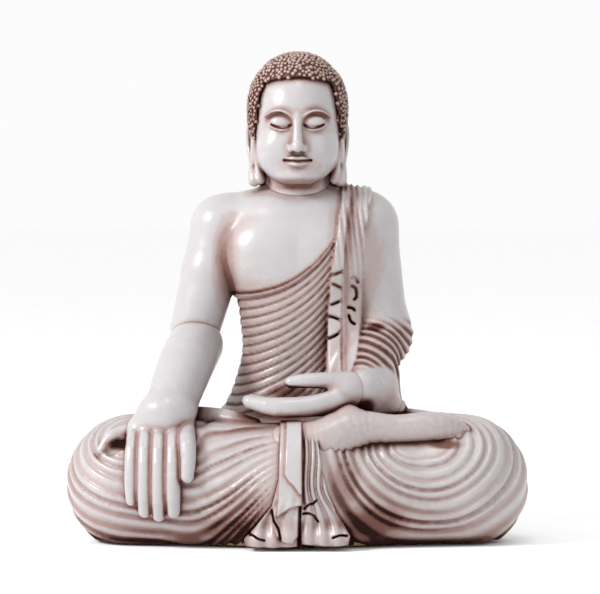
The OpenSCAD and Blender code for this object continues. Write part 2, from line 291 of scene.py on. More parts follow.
def neighbours_mean(points, quads):
    """For each point, the mean of the points it shares an edge with."""
    ends = np.concatenate([quads[:, [i, (i + 1) % 4]] for i in range(4)])
    total = np.zeros_like(points)
    count = np.bincount(ends[:, 0], minlength=len(points)) + np.bincount(
        ends[:, 1], minlength=len(points)
    )
    for axis in range(3):
        total[:, axis] = np.bincount(
            ends[:, 0], points[ends[:, 1], axis], len(points)
        ) + np.bincount(ends[:, 1], points[ends[:, 0], axis], len(points))
    return total / count[:, None]


def settle(shape, points, quads, cell):
    """Even the points out, and bring them onto the surface."""
    for even in (0.5, 0.3, 0.0):
        points = points + even * (neighbours_mean(points, quads) - points)
        lean = slope(shape, points)
        move = (shape(points) / np.maximum(np.einsum("ij,ij->i", lean, lean), 0.25))[:, None] * lean
        far = np.maximum(length(move) / cell, 1)
        points = points - move / far[:, None]
    return points.astype(np.float32)


# ---------------------------------------------------------------- pieces

pieces = {}  # name of each sculpted piece: its object and its field


def make_object(name, points, faces):
    """A mesh object at the origin, from points in millimetres."""
    mesh = bpy.data.meshes.new(name)
    mesh.vertices.add(len(points))
    mesh.vertices.foreach_set("co", (points * MM).astype(np.float32).ravel())
    mesh.loops.add(faces.size)
    mesh.loops.foreach_set("vertex_index", faces.astype(np.int32).ravel())
    mesh.polygons.add(len(faces))
    sides = faces.shape[1]
    mesh.polygons.foreach_set("loop_start", np.arange(0, faces.size, sides, dtype=np.int32))
    mesh.polygons.foreach_set("use_smooth", np.ones(len(faces), bool))
    mesh.update(calc_edges=True)
    mesh.validate()
    piece = bpy.data.objects.new(name, mesh)
    bpy.context.scene.collection.objects.link(piece)
    return piece


def sculpt(name, shape, node, under, over, cell, grooves=None):
    """Turn a field into the piece of the statue that takes the place of a CAD node.

    The field is sampled in the node's box, with some millimetres more under and over it.
    """
    low, high = node_box(node)
    low, high = low - under, high + over
    points, quads = skin(shape, low, high, cell)
    points = settle(shape, points, quads, cell)
    piece = make_object(name, points, quads)
    pieces[name] = (piece, shape, low, high, grooves)
    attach(piece, "root")
    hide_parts(node)


# ---------------------------------------------------------------- legs under the robe

CROSS_Y = float(LEGS_LOW[1]) + SHIN_R - 11  # where the shins cross in front
KNEE_AXES = (KNEE, KNEE * vec(-1, 1, 1))
FOLD_POLE_RIGHT = KNEE + vec(-29, -52, 40)  # the folds of the right knee run round this point
FOLD_POLE_LEFT = (KNEE_AXES[1] + vec(0, -34, 42), KNEE_AXES[1] + vec(44, -54, 42))
FOLD_FAN_LEFT = vec(-4, CROSS_Y - 34, LEGS_HIGH[2] + 1)  # and fan out of this one in the lap


def legs_body(p):
    """Thighs, crossed shins and seat, before the folds."""
    m = mirrored(p)
    thighs = limb(m, HIP, HIP_R, KNEE, KNEE_R)
    shin = limb(m, KNEE + vec(-4, -6, -2), SHIN_R, vec(0, CROSS_Y + 4, 46), 41)
    over = limb(p, KNEE_AXES[1] + vec(30, -18, 4), 44, vec(10, CROSS_Y, LEGS_HIGH[2] - 42), 36)
    apron = limb(m, KNEE + vec(-34, -20, -24), 26, vec(0, CROSS_Y - 6, FLOOR + 20), 26)
    seat = egg(p, vec(0, HIP[1] - 6, 48), vec(78, 58, 50))
    lap = egg(p, vec(0, HIP[1] - 56, 44), vec(88, 60, 52))
    return melt(14, thighs, shin, over, apron, seat, lap)


def fold_steps_right(p):
    """Fold number round the right knee: loops round a point under the foot."""
    away = p - FOLD_POLE_RIGHT
    far = length(away)
    front = np.maximum(np.hypot(away[:, 0], away[:, 2]), 1e-3)
    side = away[:, 0] / front
    down = away[:, 2] / front
    inner = np.minimum(side, 0) ** 2
    outer = np.maximum(side, 0) ** 2
    pitch = 6.8 * inner + 9.2 * outer + 8.6 * down**2
    start = 27 * inner + 21 * outer + 15 * down**2
    return (far - 0.35 * np.maximum(far - 78, 0) - start) / pitch


def fold_steps_left(p):
    """Fold number on the left leg: loops round the knee that fan out of the lap."""
    a, b = FOLD_POLE_LEFT
    loops = limb(p, a, 6, b, 6) / 8.6
    away = FOLD_FAN_LEFT - p
    spread_out = (np.hypot(np.maximum(away[:, 0], 0), 24) / 56) ** 0.72
    fan = (away[:, 2] / spread_out - 6.2) / 8.8
    return mix(loops, fan, smooth(-112, -52, p[:, 0]))


def uneven(steps):
    """Some folds are deeper than others."""
    return 0.88 + 0.12 * np.sin(2.2 * steps + 0.7)


def stray(p, steps):
    """Fold numbers with some folds broader than others, and none quite parallel."""
    return steps + 0.11 * np.sin(1.9 * steps + 0.4) + 0.1 * np.sin(p[:, 0] / 13 + p[:, 2] / 19)


def leg_relief(p):
    """Folds over the legs: 1 on the crests, 0 in the grooves."""
    right_steps = stray(p, fold_steps_right(p))
    left_steps = stray(p, fold_steps_left(p))
    right = mix(1, ridges(right_steps), uneven(right_steps) * smooth(-0.2, 0.9, right_steps))
    gathered = smooth(-8, -44, p[:, 0])
    tight = smooth(-70, -44, p[:, 0])
    left = mix(1, ridges(left_steps, 1.25, mix(3.0, 1.3, tight)),
               gathered * uneven(left_steps) * smooth(-0.2, 1.1, left_steps))
    front = mix(left, right, smooth(-3, 3, p[:, 0]))
    behind = ridges((p[:, 2] + 0.16 * np.abs(p[:, 0]) + 0.1 * p[:, 1]) / 10.5)
    return mix(front, behind, smooth(2, 34, p[:, 1]))


def leg_grooves(p):
    """Umber and painted shade in the grooves over the legs, most of it low down between the knees,
    and painted shade along the floor.
    """
    low = smooth(74, 12, p[:, 2]) * smooth(176, 50, np.abs(p[:, 0])) * smooth(20, -20, p[:, 1])
    groove = np.clip(1 - leg_relief(p), 0, 1) ** 1.7
    centre_low = low * smooth(112, 40, np.abs(p[:, 0] - 10))
    # Painted shade where the robe meets the floor.
    foot = smooth(8, 1, p[:, 2] - FLOOR)
    return (0.05 + 0.4 * low + 0.5 * centre_low) * groove + 0.28 * centre_low**1.5 + 0.5 * foot


LAP_ROLL = np.array([(-96, 4, 99), (-80, -22, 101), (-58, -40, 100), (-34, -52, 97)], np.float32)


def lay_on(under, x, z, gap):
    """Depths at which points in the front view stand a gap in front of a shape."""
    x = np.asarray(x, np.float32)
    y = np.full(len(x), LEGS_LOW[1] - 30, np.float32)
    for _ in range(30):
        y += 0.7 * np.clip(under(np.stack([x, y, z], 1).astype(np.float32)) - gap, -8, 8)
    return y


def laid(x, z, gap):
    """A path that lies on the front of the legs."""
    x, z = np.array(x, np.float32), np.array(z, np.float32)
    return np.stack([x, lay_on(legs_body, x, z, gap), z], 1).astype(np.float32)


FOLD_DEEP = (2.5, 1.6)  # over the legs, in front and behind

# A rolled hem beside the resting hand, the hollow under it, and the hem of the sleeve
HEM = laid((-124, -137, -149, -157), (94, 92, 87, 77), 1.5)
HEM_SLIT = laid((-126, -139, -149), (84, 82, 76), 0)
SLEEVE_HEM = np.array([(66, -18, 102), (92, -24, 102.5), (120, -30, 100)], np.float32)


def legs_shape(p):
    deep = mix(*FOLD_DEEP, smooth(2, 34, p[:, 1]))
    folded = legs_body(p) + deep * (0.62 - leg_relief(p))
    folded = melt(1.5, folded, tube(p, LAP_ROLL, (7, 8, 8, 5)))
    folded = melt(3, folded, tube(p, SLEEVE_HEM, (6, 5, 3.5)))
    folded = carve(2, folded, tube(p, HEM_SLIT, (4.5, 4.5, 3)))
    folded = melt(1.5, folded, tube(p, HEM, (4.6, 5.2, 5, 3)))
    plate = rounded(1, flat_edge(p, PLATE_OUTLINE, (0, 1)) - 0.6, p[:, 2] - PLATE_HIGH[2])
    return np.maximum(carve(0.3, folded, plate), FLOOR - p[:, 2])


# ---------------------------------------------------------------- chest, robe and sleeve

SHOULDER_Z = float(TORSO_HIGH[2]) - 29
SHOULDER_RIGHT = vec(-62.5, NECK[1] + 4, SHOULDER_Z - 2.4)
SHOULDER_LEFT = vec(57, NECK[1] + 4, SHOULDER_Z - 3)
ELBOW_RIGHT = centre("elbow_dowel") + vec(-6, -3, -28)
ELBOW_LEFT = vec(65.5, NECK[1], SHOULDER_Z - 92)
CUFF = centre("wrist_dowel") + vec(1, 2, 2)
CROOK = vec(47, NECK[1] - 30, SHOULDER_Z - 94)  # inner bend of the sleeve

# Trunk: height, half width, front and back. The flare at the foot meets the lap.
TRUNK = np.array([
    (86, 74, -14, 92),
    (98, 66, -12, 90),
    (112, 57, -7, 86),
    (130, 50, -4, 81),
    (152, 45, -4, 77),
    (175, 46.5, -6, 77),
    (192, 49, -8, 79),
    (203, 53.5, -9, 80),
    (225, 57, -10, 83),
    (245, 58, -8, 83),
    (262, 53, -3, 78),
    (271, 46, 0, 72),
    (278, 37, 5, 66),
    (286, 24, 16, 54),
], np.float32)

# Top edge of the robe in front: distance from the middle and height
ROBE_EDGE = np.array([
    (-60, 199), (-46, 199.5), (-28, 202), (-6, 210), (11, 222), (20, 231), (30, 245), (40, 268),
    (48, 292),
], np.float32)
ROBE_DEEP = 2.2
RING_DEEP = 2.4  # the rings of cloth on the sleeve
ROBE_PITCH = np.array([(-50, 7.8), (-12, 7.2), (15, 7.0), (30, 7.0)], np.float32)
BACK_EDGE = np.array([(-60, 199), (-40, 206), (0, 236), (40, 272), (60, 292)], np.float32)


def curve(at, knots, values):
    """A smooth curve through the values given at some knots."""
    step = np.gradient(values, knots)
    i = np.clip(np.searchsorted(knots, at) - 1, 0, len(knots) - 2)
    wide = knots[i + 1] - knots[i]
    t = np.clip((at - knots[i]) / wide, 0, 1)
    return (
        (1 + 2 * t) * (1 - t) ** 2 * values[i]
        + t * (1 - t) ** 2 * wide * step[i]
        + t**2 * (3 - 2 * t) * values[i + 1]
        + t**2 * (t - 1) * wide * step[i + 1]
    )


def trunk(p):
    z = np.clip(p[:, 2], TRUNK[0, 0], TRUNK[-1, 0])
    half = curve(z, TRUNK[:, 0], TRUNK[:, 1])
    front = curve(z, TRUNK[:, 0], TRUNK[:, 2])
    back = curve(z, TRUNK[:, 0], TRUNK[:, 3])
    deep = (back - front) / 2
    q = np.stack([p[:, 0] / half, (p[:, 1] - (back + front) / 2) / deep], 1)
    r = (np.abs(q[:, 0]) ** 2.3 + np.abs(q[:, 1]) ** 2.3) ** (1 / 2.3)
    away = np.abs(p[:, 2] - z)
    side = (r - 1) * np.minimum(half, deep)
    return np.where(away > 0, np.hypot(np.maximum(side, 0), away) + np.minimum(side, 0), side)


def chest_body(p):
    """Chest, back and shoulders."""
    m = mirrored(p)
    girdle = limb(m, vec(16, NECK[1] + 2, SHOULDER_Z + 4), 20,
                  vec(52, NECK[1] + 4, SHOULDER_Z - 1), 23.5)
    slope_up = limb(m, vec(16, NECK[1] + 2, SHOULDER_Z + 15.5), 14,
                    vec(52, NECK[1] + 4, SHOULDER_Z + 4), 16.5)
    breast = egg(m, vec(26, 11.5, SHOULDER_Z - 26), vec(30, 17.5, 25))
    return melt(15, trunk(p), girdle, slope_up, breast)


def bare_arm(p):
    middle = mix(SHOULDER_RIGHT, ELBOW_RIGHT, 0.45)
    shoulder = ball(p, SHOULDER_RIGHT, 25.5)
    arm = limb(p, SHOULDER_RIGHT, 25, middle, 23)
    lower = limb(p, middle, 23, ELBOW_RIGHT, 20.5)
    return melt(4, shoulder, arm, lower)


def sleeve_body(p):
    """The covered arm, from the shoulder to the cuff, and the cloth that falls to the thigh."""
    upper = limb(p, SHOULDER_LEFT, 25.5, ELBOW_LEFT, 26)
    fore = limb(p, ELBOW_LEFT, 26, CUFF, 18)
    fall = limb(p, mix(ELBOW_LEFT, CUFF, 0.35) + vec(6, 0, -26), 17, CUFF + vec(12, 8, -12), 12)
    skirt = limb(p, ELBOW_LEFT + vec(7, -30, -56), 10, CUFF + vec(31, 8, -18), 8)
    return melt(14, upper, fore, fall, skirt)


def robe_height(p):
    """How far below the robe's top edge a point lies."""
    x = np.clip(p[:, 0], -60, 60)
    front = curve(np.minimum(x, 48), ROBE_EDGE[:, 0], ROBE_EDGE[:, 1])
    back = curve(x, BACK_EDGE[:, 0], BACK_EDGE[:, 1])
    return mix(front, back, smooth(25, 60, p[:, 1])) - p[:, 2]


def robe_folds(p):
    """Folds that fan from the shoulder cloth round the waist."""
    below = robe_height(p)
    pitch = curve(np.clip(p[:, 0], -50, 30), ROBE_PITCH[:, 0], ROBE_PITCH[:, 1])
    return ridges((below + 2.6) / pitch, 1.2, mix(7.0, 4.4, smooth(-20, 22, p[:, 0])))


def gathered_robe(p):
    """The folds die away where the robe runs out over the lap."""
    return smooth(99, 114, p[:, 2] - 0.15 * p[:, 0])


def sleeve_folds(p):
    """Rings of cloth pushed up the forearm, and how strongly they show."""
    q = p - CUFF - vec(2, 0, 2)
    far = np.sqrt(q[:, 0] ** 2 + q[:, 2] ** 2 + 0.12 * q[:, 1] ** 2)
    turn = np.degrees(np.arctan2(q[:, 2], q[:, 0]))
    turn = np.where(turn < -120, turn + 360, turn)
    start = mix(13, 33, smooth(75, -10, turn))
    shown = smooth(-58, -30, turn) * smooth(225, 190, turn) * smooth(start, start + 7, far)
    shown *= smooth(SHOULDER_Z - 74, SHOULDER_Z - 90, p[:, 2])
    wave = 0.25 * np.sin(turn / 23) + 0.2 * np.sin(p[:, 1] / 7)
    return ridges(far / 5.6 + wave), shown


# The folded end of the robe that hangs from the left shoulder, drawn in the front view
STRIP_INNER = np.array([
    (36.5, 300), (36, 279), (31.5, 244), (27.5, 218), (25, 182), (23.5, 122), (35, 122),
    (36.3, 182), (37.6, 218), (40.5, 250), (45, 279), (46, 300),
], np.float32)
STRIP_OUTER = np.array([
    (42, 300), (41.5, 279), (38, 240), (35, 215), (33.5, 185), (33, 165), (33, 134), (42, 136),
    (48, 150), (52, 175), (53.5, 215), (56, 250), (61, 279), (62, 300),
], np.float32)
HEM_LINE = 1.0  # half the width of the lines cut along the hems
INNER_HEMS = (
    [(27, 214.5), (33, 217), (40, 219.5)],
    [(28.5, 208), (34, 205.5), (37.2, 202), (37.2, 196), (34, 193.5), (28, 191)],
    [(26, 181.5), (31, 180), (36.4, 177), (36.4, 171), (31, 166), (24, 163)],
)
OUTER_HEMS = (
    [(44.6, 213), (47.5, 212), (49, 209)],
    [(44, 206), (47.5, 204), (48, 197), (46, 195)],
    [(41, 188.5), (44.5, 188), (46.5, 186)],
    [(41.8, 182), (43.5, 177), (46.5, 175)],
)


def pleats(across, pitch):
    return ridges(across / pitch, 1.0, 2.5)


def shoulder_cloth(p, under):
    """Two folded strips over the shoulder, laid on what is under them."""
    front = p[:, 1] < NECK[1] + 4
    hanging = limb(p, vec(31, 22, 190), 24, vec(31, 2, 120), 24)
    under = melt(10, under, hanging)
    top = smooth(SHOULDER_Z - 60, SHOULDER_Z, p[:, 2])
    soft = 1.3 * pleats(p[:, 0] + 0.09 * p[:, 2], 4.6) * top
    strips = []
    for thick, outline, hems in ((1.6, STRIP_OUTER, OUTER_HEMS), (3.0, STRIP_INNER, INNER_HEMS)):
        strip = rounded(0.8, under - thick - soft, flat_edge(p, outline))
        strips.append(carve(0.5, strip, line_gap(p, *hems) - HEM_LINE))
    width = np.abs(p[:, 0] - 44 - 0.02 * (SHOULDER_Z - p[:, 2])) - 17
    behind = rounded(1, width, SHOULDER_Z - 96 - p[:, 2])
    fall = 1.9 + 1.7 * pleats(p[:, 0] - 2, 5.6)
    behind = rounded(0.8, under - fall, behind)
    return np.where(front, np.minimum(*strips), behind)


def torso_shape(p):
    chest = chest_body(p)
    below = robe_height(p)
    folds = mix(1, robe_folds(p), gathered_robe(p))
    robe = np.maximum(chest + 1.1 - ROBE_DEEP * folds, -0.8 * below)
    robe = np.maximum(robe, chest - 0.8 - 0.7 * smooth(3, 0, below))
    robe = np.minimum(robe, np.maximum(chest - 1.5, np.abs(below - 1.5) - 1.5))
    sleeve = sleeve_body(p)
    rings, shown = sleeve_folds(p)
    covered = sleeve + RING_DEEP * shown * (0.6 - rings)
    covered = carve(4, covered, limb(p, CROOK + vec(12, -10, 8), 2.5, CROOK + vec(26, -6, 9), 2))
    under = melt(16, chest, sleeve)
    bridge = np.maximum(under + 0.2, 40 - p[:, 0])
    robe = melt(2.5, robe, np.minimum(covered, bridge))
    skin_part = melt(5, chest, bare_arm(p))
    whole = np.minimum(np.minimum(skin_part, robe), shoulder_cloth(p, under))
    return np.maximum(whole, 88 - p[:, 2])


def torso_grooves(p):
    """Umber and painted shade in the grooves of the robe and of the sleeve, and beside the inner
    strip of the shoulder cloth.
    """
    below = robe_height(p)
    chest = chest_body(p)
    robe = (1 - robe_folds(p)) ** 2.2 * smooth(-0.5, 1.5, below) * gathered_robe(p)
    robe = np.maximum(robe, smooth(2.0, 0.6, np.abs(below + 0.6)))
    tinted = 0.12 * smooth(-1, 1, below)
    rings, shown = sleeve_folds(p)
    bunched = shown * (0.1 + 0.6 * (1 - rings) ** 1.6) * smooth(9, 4, sleeve_body(p))
    front = p[:, 1] < NECK[1]
    strips = np.minimum(flat_edge(p, STRIP_INNER), flat_edge(p, STRIP_OUTER))
    open_cloth = np.where(front, smooth(-0.5, 1.5, strips), 1)
    on_robe = (0.42 * robe + tinted) * open_cloth * (np.abs(chest) < 3.2) * (p[:, 0] < 48)
    # A grey-brown band of umber and painted shade in the pleats just outside the inner strip.
    beside = smooth(9, 1, flat_edge(p, STRIP_INNER)) * (flat_edge(p, STRIP_OUTER) < 0)
    out = np.maximum(on_robe, bunched * open_cloth)
    return out + front * 0.24 * beside * (p[:, 0] > 38)


# ---------------------------------------------------------------- bare forearm and hand on the knee


FOREARM = np.array([(-84, 20, 157), (-90, -8, 144), (-98.5, -40, 121), (-104, -60, 105)],
                   np.float32)
FOREARM_R = (22.6, 22.6, 21, 19)
# Fingers of the resting hand: place across the knuckles, radius, height of the tip
FINGERS = (
    (-131.6, 5.3, 34.0), (-121.2, 5.8, 24.5), (-110.0, 5.9, 21.5), (-98.4, 6.1, 24.5),
)
KNUCKLE_Z = 86.0


def resting_fingers():
    """The centre line and radii of every finger and of the thumb."""
    out = []
    for x, r, tip in FINGERS:
        z = (KNUCKLE_Z + 10, KNUCKLE_Z - 8, mix(KNUCKLE_Z, tip, 0.62), tip + r)
        path = laid((x * 0.92 - 8.8, x * 0.99 - 1.1, x, x + 0.4), z, r * 0.75)
        path[0, 1] += 2.5
        out.append((path, (r, r, r, r * 0.86)))
    thumb = laid((-91.5, -87.5, -86.4, -87), (106, 87, 72, 59), 5.5)
    thumb[0, 1] += 2
    out.append((thumb, (7.0, 6.9, 6.3, 5.4)))
    return out


REST = resting_fingers()


def forearm_shape(p):
    arm = tube(p, FOREARM, FOREARM_R)
    wrist = FOREARM[-1]
    palm = None
    for path, _ in REST[:4]:
        back = mix(wrist, vec(path[0, 0], path[0, 1], wrist[2]), 0.45)
        bone = limb(p, back, 13.5, path[0] - vec(0, 2.5, 4), 7.6)
        palm = bone if palm is None else melt(7, palm, bone)
    thumb_root = limb(p, wrist + vec(10, 0, 2), 12, REST[4][0][0], 8)
    hand = melt(8, arm, palm, thumb_root)
    for path, radii in REST:
        hand = melt(2.6, hand, tube(p, path, radii))
    return hand


# ---------------------------------------------------------------- hand in the lap

LAP_WRIST = CUFF + vec(-2, -4, -1)
LAP_FINGERS = np.array([(30, -62, 117), (8, -70, 112.5), (-16, -72, 111.8), (-38, -67, 115.5)],
                       np.float32)
LAP_THUMB = np.array([(42, -52, 129), (26, -60, 132), (8, -64, 132.5), (-5, -63, 131)],
                     np.float32)


def lap_hand_shape(p):
    wrist = limb(p, LAP_WRIST + vec(10, 6, 4), 12, LAP_WRIST + vec(-14, -8, -1), 12.5)
    heel = limb(p, LAP_WRIST + vec(-8, -6, 0), 12.5, vec(26, -58, 117), 9.5)
    palm = egg(p, vec(8, -56, 111), vec(32, 18, 8))
    hand = melt(8, wrist, palm, heel)
    hand = melt(3, hand, tube(p, LAP_FINGERS, (10, 8.4, 7.8, 5.0)))
    hand = melt(1.2, hand, tube(p, LAP_FINGERS + vec(-2, 9.5, 0.6), (9, 6.2, 5.8, 4.2)))
    hand = melt(1.2, hand, tube(p, LAP_FINGERS + vec(1, 19, 1.0), (8, 5.8, 5.4, 4.0)))
    hand = carve(3, hand, egg(p, vec(4, -58, 125), vec(26, 12, 7)))
    return melt(4, hand, tube(p, LAP_THUMB, (9.5, 7.0, 6.0, 4.9)))


def lap_hand_grooves(p):
    """Umber and painted shade in the hollow of the palm."""
    return 0.75 * smooth(1.5, -0.4, egg(p, vec(-2, -56, 124.5), vec(30, 13, 7.5)))


# ---------------------------------------------------------------- foot on the thigh

SOLE = np.array([(-6, -74, 80), (18, -75, 83), (38, -70, 92), (56, -69, 95), (78, -67, 94),
                 (106, -63, 95.5), (122, -59, 94.5), (133, -56, 91.5)], np.float32)
SOLE_R = (19.5, 19.5, 18, 13.5, 11.5, 12, 9.6, 5.4)


def foot_shape(p):
    heel = egg(p, vec(40, -64, 98), vec(11, 14, 15.5))
    whole = melt(7, tube(p, SOLE, SOLE_R), heel)
    big_toe = tube(p, np.array([(112, -65, 89), (128, -61, 87.5), (139, -57, 87.5)],
                               np.float32), (5.2, 4.6, 3.8))
    toes = big_toe
    for i in range(4):
        a = vec(121 - i, -62 + 2.0 * i, 93.5 + 3.0 * i)
        toes = np.minimum(toes, limb(p, a, 3.6, a + vec(14 - 3.2 * i, 5, -1.2), 2.9))
    return melt(1.6, whole, toes)


# ---------------------------------------------------------------- end of the robe over the shins

CLOTH_LAYERS = (  # how far it stands off the shins, and its outline in the front view
    (1.6, [(3, 101), (3, 6), (14, 5), (27, 4), (40, 5), (41.5, 12), (31, 30), (24, 46), (20, 62),
           (17, 80), (15, 101)]),
    (1.8, [(-12, 64), (-20, 36), (-33, 19), (-42, 9), (-40, 4), (-20, 3), (0, 4), (0, 64)]),
    (3.6, [(-12.5, 66), (-20.5, 34), (-20, 24), (-17, 13), (-11, 7), (-4, 6), (0.5, 12),
           (1.4, 66)]),
    (5.0, [(-13.6, 101), (-14.6, 60), (-16.4, 27), (-12, 30), (-7, 34), (-2, 35.6), (3.6, 37),
           (3.6, 101)]),
    (6.8, [(-8.8, 101), (-9.6, 76), (-10.2, 61), (-7, 56), (-3.4, 53), (-0.4, 49), (1.6, 45.6),
           (3.6, 46), (3.6, 101)]),
)
CLOTH_LINES = (
    [(5.5, 34), (8.6, 37.5), (12, 38), (15, 41)],
    [(4.5, 30), (9, 30.5), (13, 28), (16.4, 23.5)],
    [(-40, 13.5), (-35, 13), (-31, 10.5), (-26, 9)],
    [(28, 11), (33, 13), (39, 12.4)],
    [(-20, 33), (-18.5, 24), (-15, 18), (-13.4, 10)],
)


def cloth_pleats(p):
    """Pleats that hang from the lap and open out over the floor."""
    x, z = p[:, 0], p[:, 2]
    open_out = 1 + 1.25 * smooth(52, 6, z)
    right = ridges((x - 4) / (5.2 * open_out) + 0.12 * np.sin(z / 7), 1.0, 2.4)
    left = ridges((-x - 2) / (5.6 * open_out) + 0.15 * np.sin(z / 6), 1.0, 2.4)
    return np.where(x > 3.3, right, left * smooth(48, 30, z))


def cloth_shape(p):
    shins = melt(8, legs_body(p), limb(p, vec(-34, CROSS_Y - 29, FLOOR + 7), 8,
                                       vec(34, CROSS_Y - 29, FLOOR + 7), 8))
    waves = 2.2 * cloth_pleats(p)
    out = None
    for lift, outline in CLOTH_LAYERS:
        outline = thread(outline, 1)
        low = float(outline[:, 1].min())
        flare = 1.2 * smooth(low + 20, low, p[:, 2])
        rise = waves if lift < 2 else 0.45 * waves
        layer = rounded(0.8, shins - lift - flare - rise, flat_edge(p, outline))
        out = layer if out is None else np.minimum(out, layer)
    out = carve(0.5, out, line_gap(p, *CLOTH_LINES) - 0.8)
    return np.maximum(np.maximum(out, -6.0 - shins), FLOOR - p[:, 2])


# ---------------------------------------------------------------- head

CHIN_Z = float(NECK[2]) + 14
EYE_Z = CHIN_Z + 50
FACE_Y = float(HEAD_LOW[1]) + 9.5
SKULL = vec(0, NECK[1] - 1, CHIN_Z + 58)
SKULL_HALF = vec(37, 42, 43.5)
LASHES = np.array([(4.8, 2.4, -2.6), (8.6, 0.4, -4.6), (13, 0.1, -5.2), (17.6, 1.9, -4.2),
                   (21.4, 5, -2.2)], np.float32)
BROWS = np.array([(3.4, 1.2, 0.5), (6.2, 0.6, 5), (13, 1.2, 8.6), (20.5, 4.6, 8), (27, 10, 3.6)],
                 np.float32)
LIPS_APART = np.array([(0, -3.4, 17.6), (5, -1.9, 18), (11, 2.6, 18.6)], np.float32)
EYE = vec(0, FACE_Y, EYE_Z)
CHIN = vec(0, FACE_Y, CHIN_Z)


def face_shape(p):
    m = mirrored(p)
    skull = egg(p, SKULL, SKULL_HALF)
    jaw = egg(p, CHIN + vec(0, 29, 33), vec(32.5, 28.5, 34))
    cheek = egg(m, CHIN + vec(15, 16.5, 27), vec(16, 14, 16))
    corner = limb(m, CHIN + vec(25, 38, 22), 9, CHIN + vec(9, 13, 8.5), 8.5)
    chin = egg(p, CHIN + vec(0, 9, 7.5), vec(12, 9, 7.8))
    head = melt(5, melt(10, skull, jaw, cheek, corner), chin)
    # brows, eyes and nose
    head = carve(5, head, egg(m, EYE + vec(12.8, -3.6, 0.5), vec(9.4, 6, 6.2)))
    head = melt(4.5, head, tube(m, BROWS + EYE, (0.7, 0.9, 1.0, 0.9, 0.4)))
    head = melt(2.5, head, egg(m, EYE + vec(12.8, 6.9, -0.6), vec(9.6, 6.4, 6.2)))
    lower_lid = tube(m, LASHES + EYE + vec(0, 0.9, -1.5), (0.8, 1.1, 1.2, 1.1, 0.7))
    head = melt(1.8, head, lower_lid)
    head = carve(0.8, head, tube(m, LASHES + EYE, (0.55,) * 5))
    head = melt(3.4, head, limb(p, EYE + vec(0, 1.8, 4), 3.0, CHIN + vec(0, -3.8, 31), 4.1))
    tip = ball(p, CHIN + vec(0, -4.6, 29.4), 4.5)
    wing = egg(m, CHIN + vec(4.9, -0.4, 28.2), vec(3.4, 4.4, 3.4))
    head = melt(2.0, head, melt(2.6, tip, wing))
    head = carve(0.8, head, egg(m, CHIN + vec(2.7, -3.0, 25), vec(1.5, 2.0, 1.2)))
    # mouth
    head = carve(2, head, limb(p, CHIN + vec(0, -2.6, 23.4), 1.0, CHIN + vec(0, -3.6, 21), 1.2))
    upper = tube(m, CHIN + np.array([(0.9, -1.4, 19.7), (4.6, -0.8, 20), (10.2, 3.2, 18.8)],
                                    np.float32), (2.0, 1.9, 0.8))
    lower = limb(m, CHIN + vec(0.5, -0.6, 15), 2.7, CHIN + vec(6.4, 1.5, 16.2), 1.6)
    head = melt(1.8, head, upper, lower)
    head = carve(0.8, head, tube(m, LIPS_APART + CHIN, (0.6, 0.6, 0.7)))
    head = carve(3, head, egg(p, CHIN + vec(0, -2.7, 11.4), vec(6.5, 2.6, 1.8)))
    # ears with long lobes that swing out
    rim = tube(m, EYE + np.array([(35, 34, -6), (38.5, 42, -2), (40.6, 48, -6), (40, 48, -20),
                                  (37, 41, -33), (36.2, 35, -42), (35.6, 32, -48)],
                                 np.float32), (1.9, 2.0, 2.2, 2.4, 3.2, 4.6, 5.0))
    fold = tube(m, EYE + np.array([(35, 34, -6), (34.5, 34, -20), (32.6, 32, -34),
                                   (31, 30, -47)], np.float32), (1.8, 2.2, 2.8, 4.2))
    plate = egg(m, EYE + vec(35.6, 40, -20), vec(3.2, 8, 19))
    head = melt(2, head, plate)
    head = melt(1.2, head, rim, fold)
    neck = limb(p, vec(0, NECK[1], NECK[2] - 4), 26.6, vec(0, NECK[1] - 1, CHIN_Z + 16), 25.5)
    web = egg(m, vec(27, NECK[1] + 4, CHIN_Z + 8), vec(8, 9, 12))
    return np.maximum(melt(4, head, neck, web), NECK[2] - 6 - p[:, 2])


def face_grooves(p):
    """Umber in the lines of the lids and the lips, and umber with painted shade under the brows,
    behind the ears and under the chin.
    """
    m = mirrored(p)
    lids = smooth(1.5, 0.4, tube(m, LASHES + EYE, (0.4,) * 5))
    mouth = smooth(1.5, 0.4, tube(m, LIPS_APART + CHIN, (0.4,) * 3))
    # Painted shade under the brows, behind the ears and in the fold under the chin.
    under_brow = 0.3 * smooth(3, 0.5, tube(m, BROWS + EYE + vec(0, 0, -2.4), (0.5,) * 5))
    behind = smooth(27, 36, p[:, 1]) * smooth(EYE_Z - 12, EYE_Z - 30, p[:, 2])
    behind = 0.5 * behind * smooth(33, 28, np.abs(p[:, 0]))
    throat = 0.35 * smooth(7, 2, np.abs(p[:, 2] - CHIN_Z + 1)) * smooth(22, 6, p[:, 1])
    return 0.6 * np.maximum(lids, mouth) + under_brow + behind + throat


def hair_line(p):
    """Negative where hair grows: an arch over the forehead, straight down before the ears."""
    side = np.abs(p[:, 0])
    arch = SKULL[2] + 27.5 - 3.2 * (side / 26) ** 2 - 0.055 * np.maximum(side - 25, 0) ** 3
    arch = np.maximum(arch, SKULL[2] - 34)
    ahead = smooth(FACE_Y + 40, FACE_Y + 30, p[:, 1])
    line = mix(SKULL[2] - 36, arch, ahead)
    return np.clip(line - p[:, 2], -6, 6)


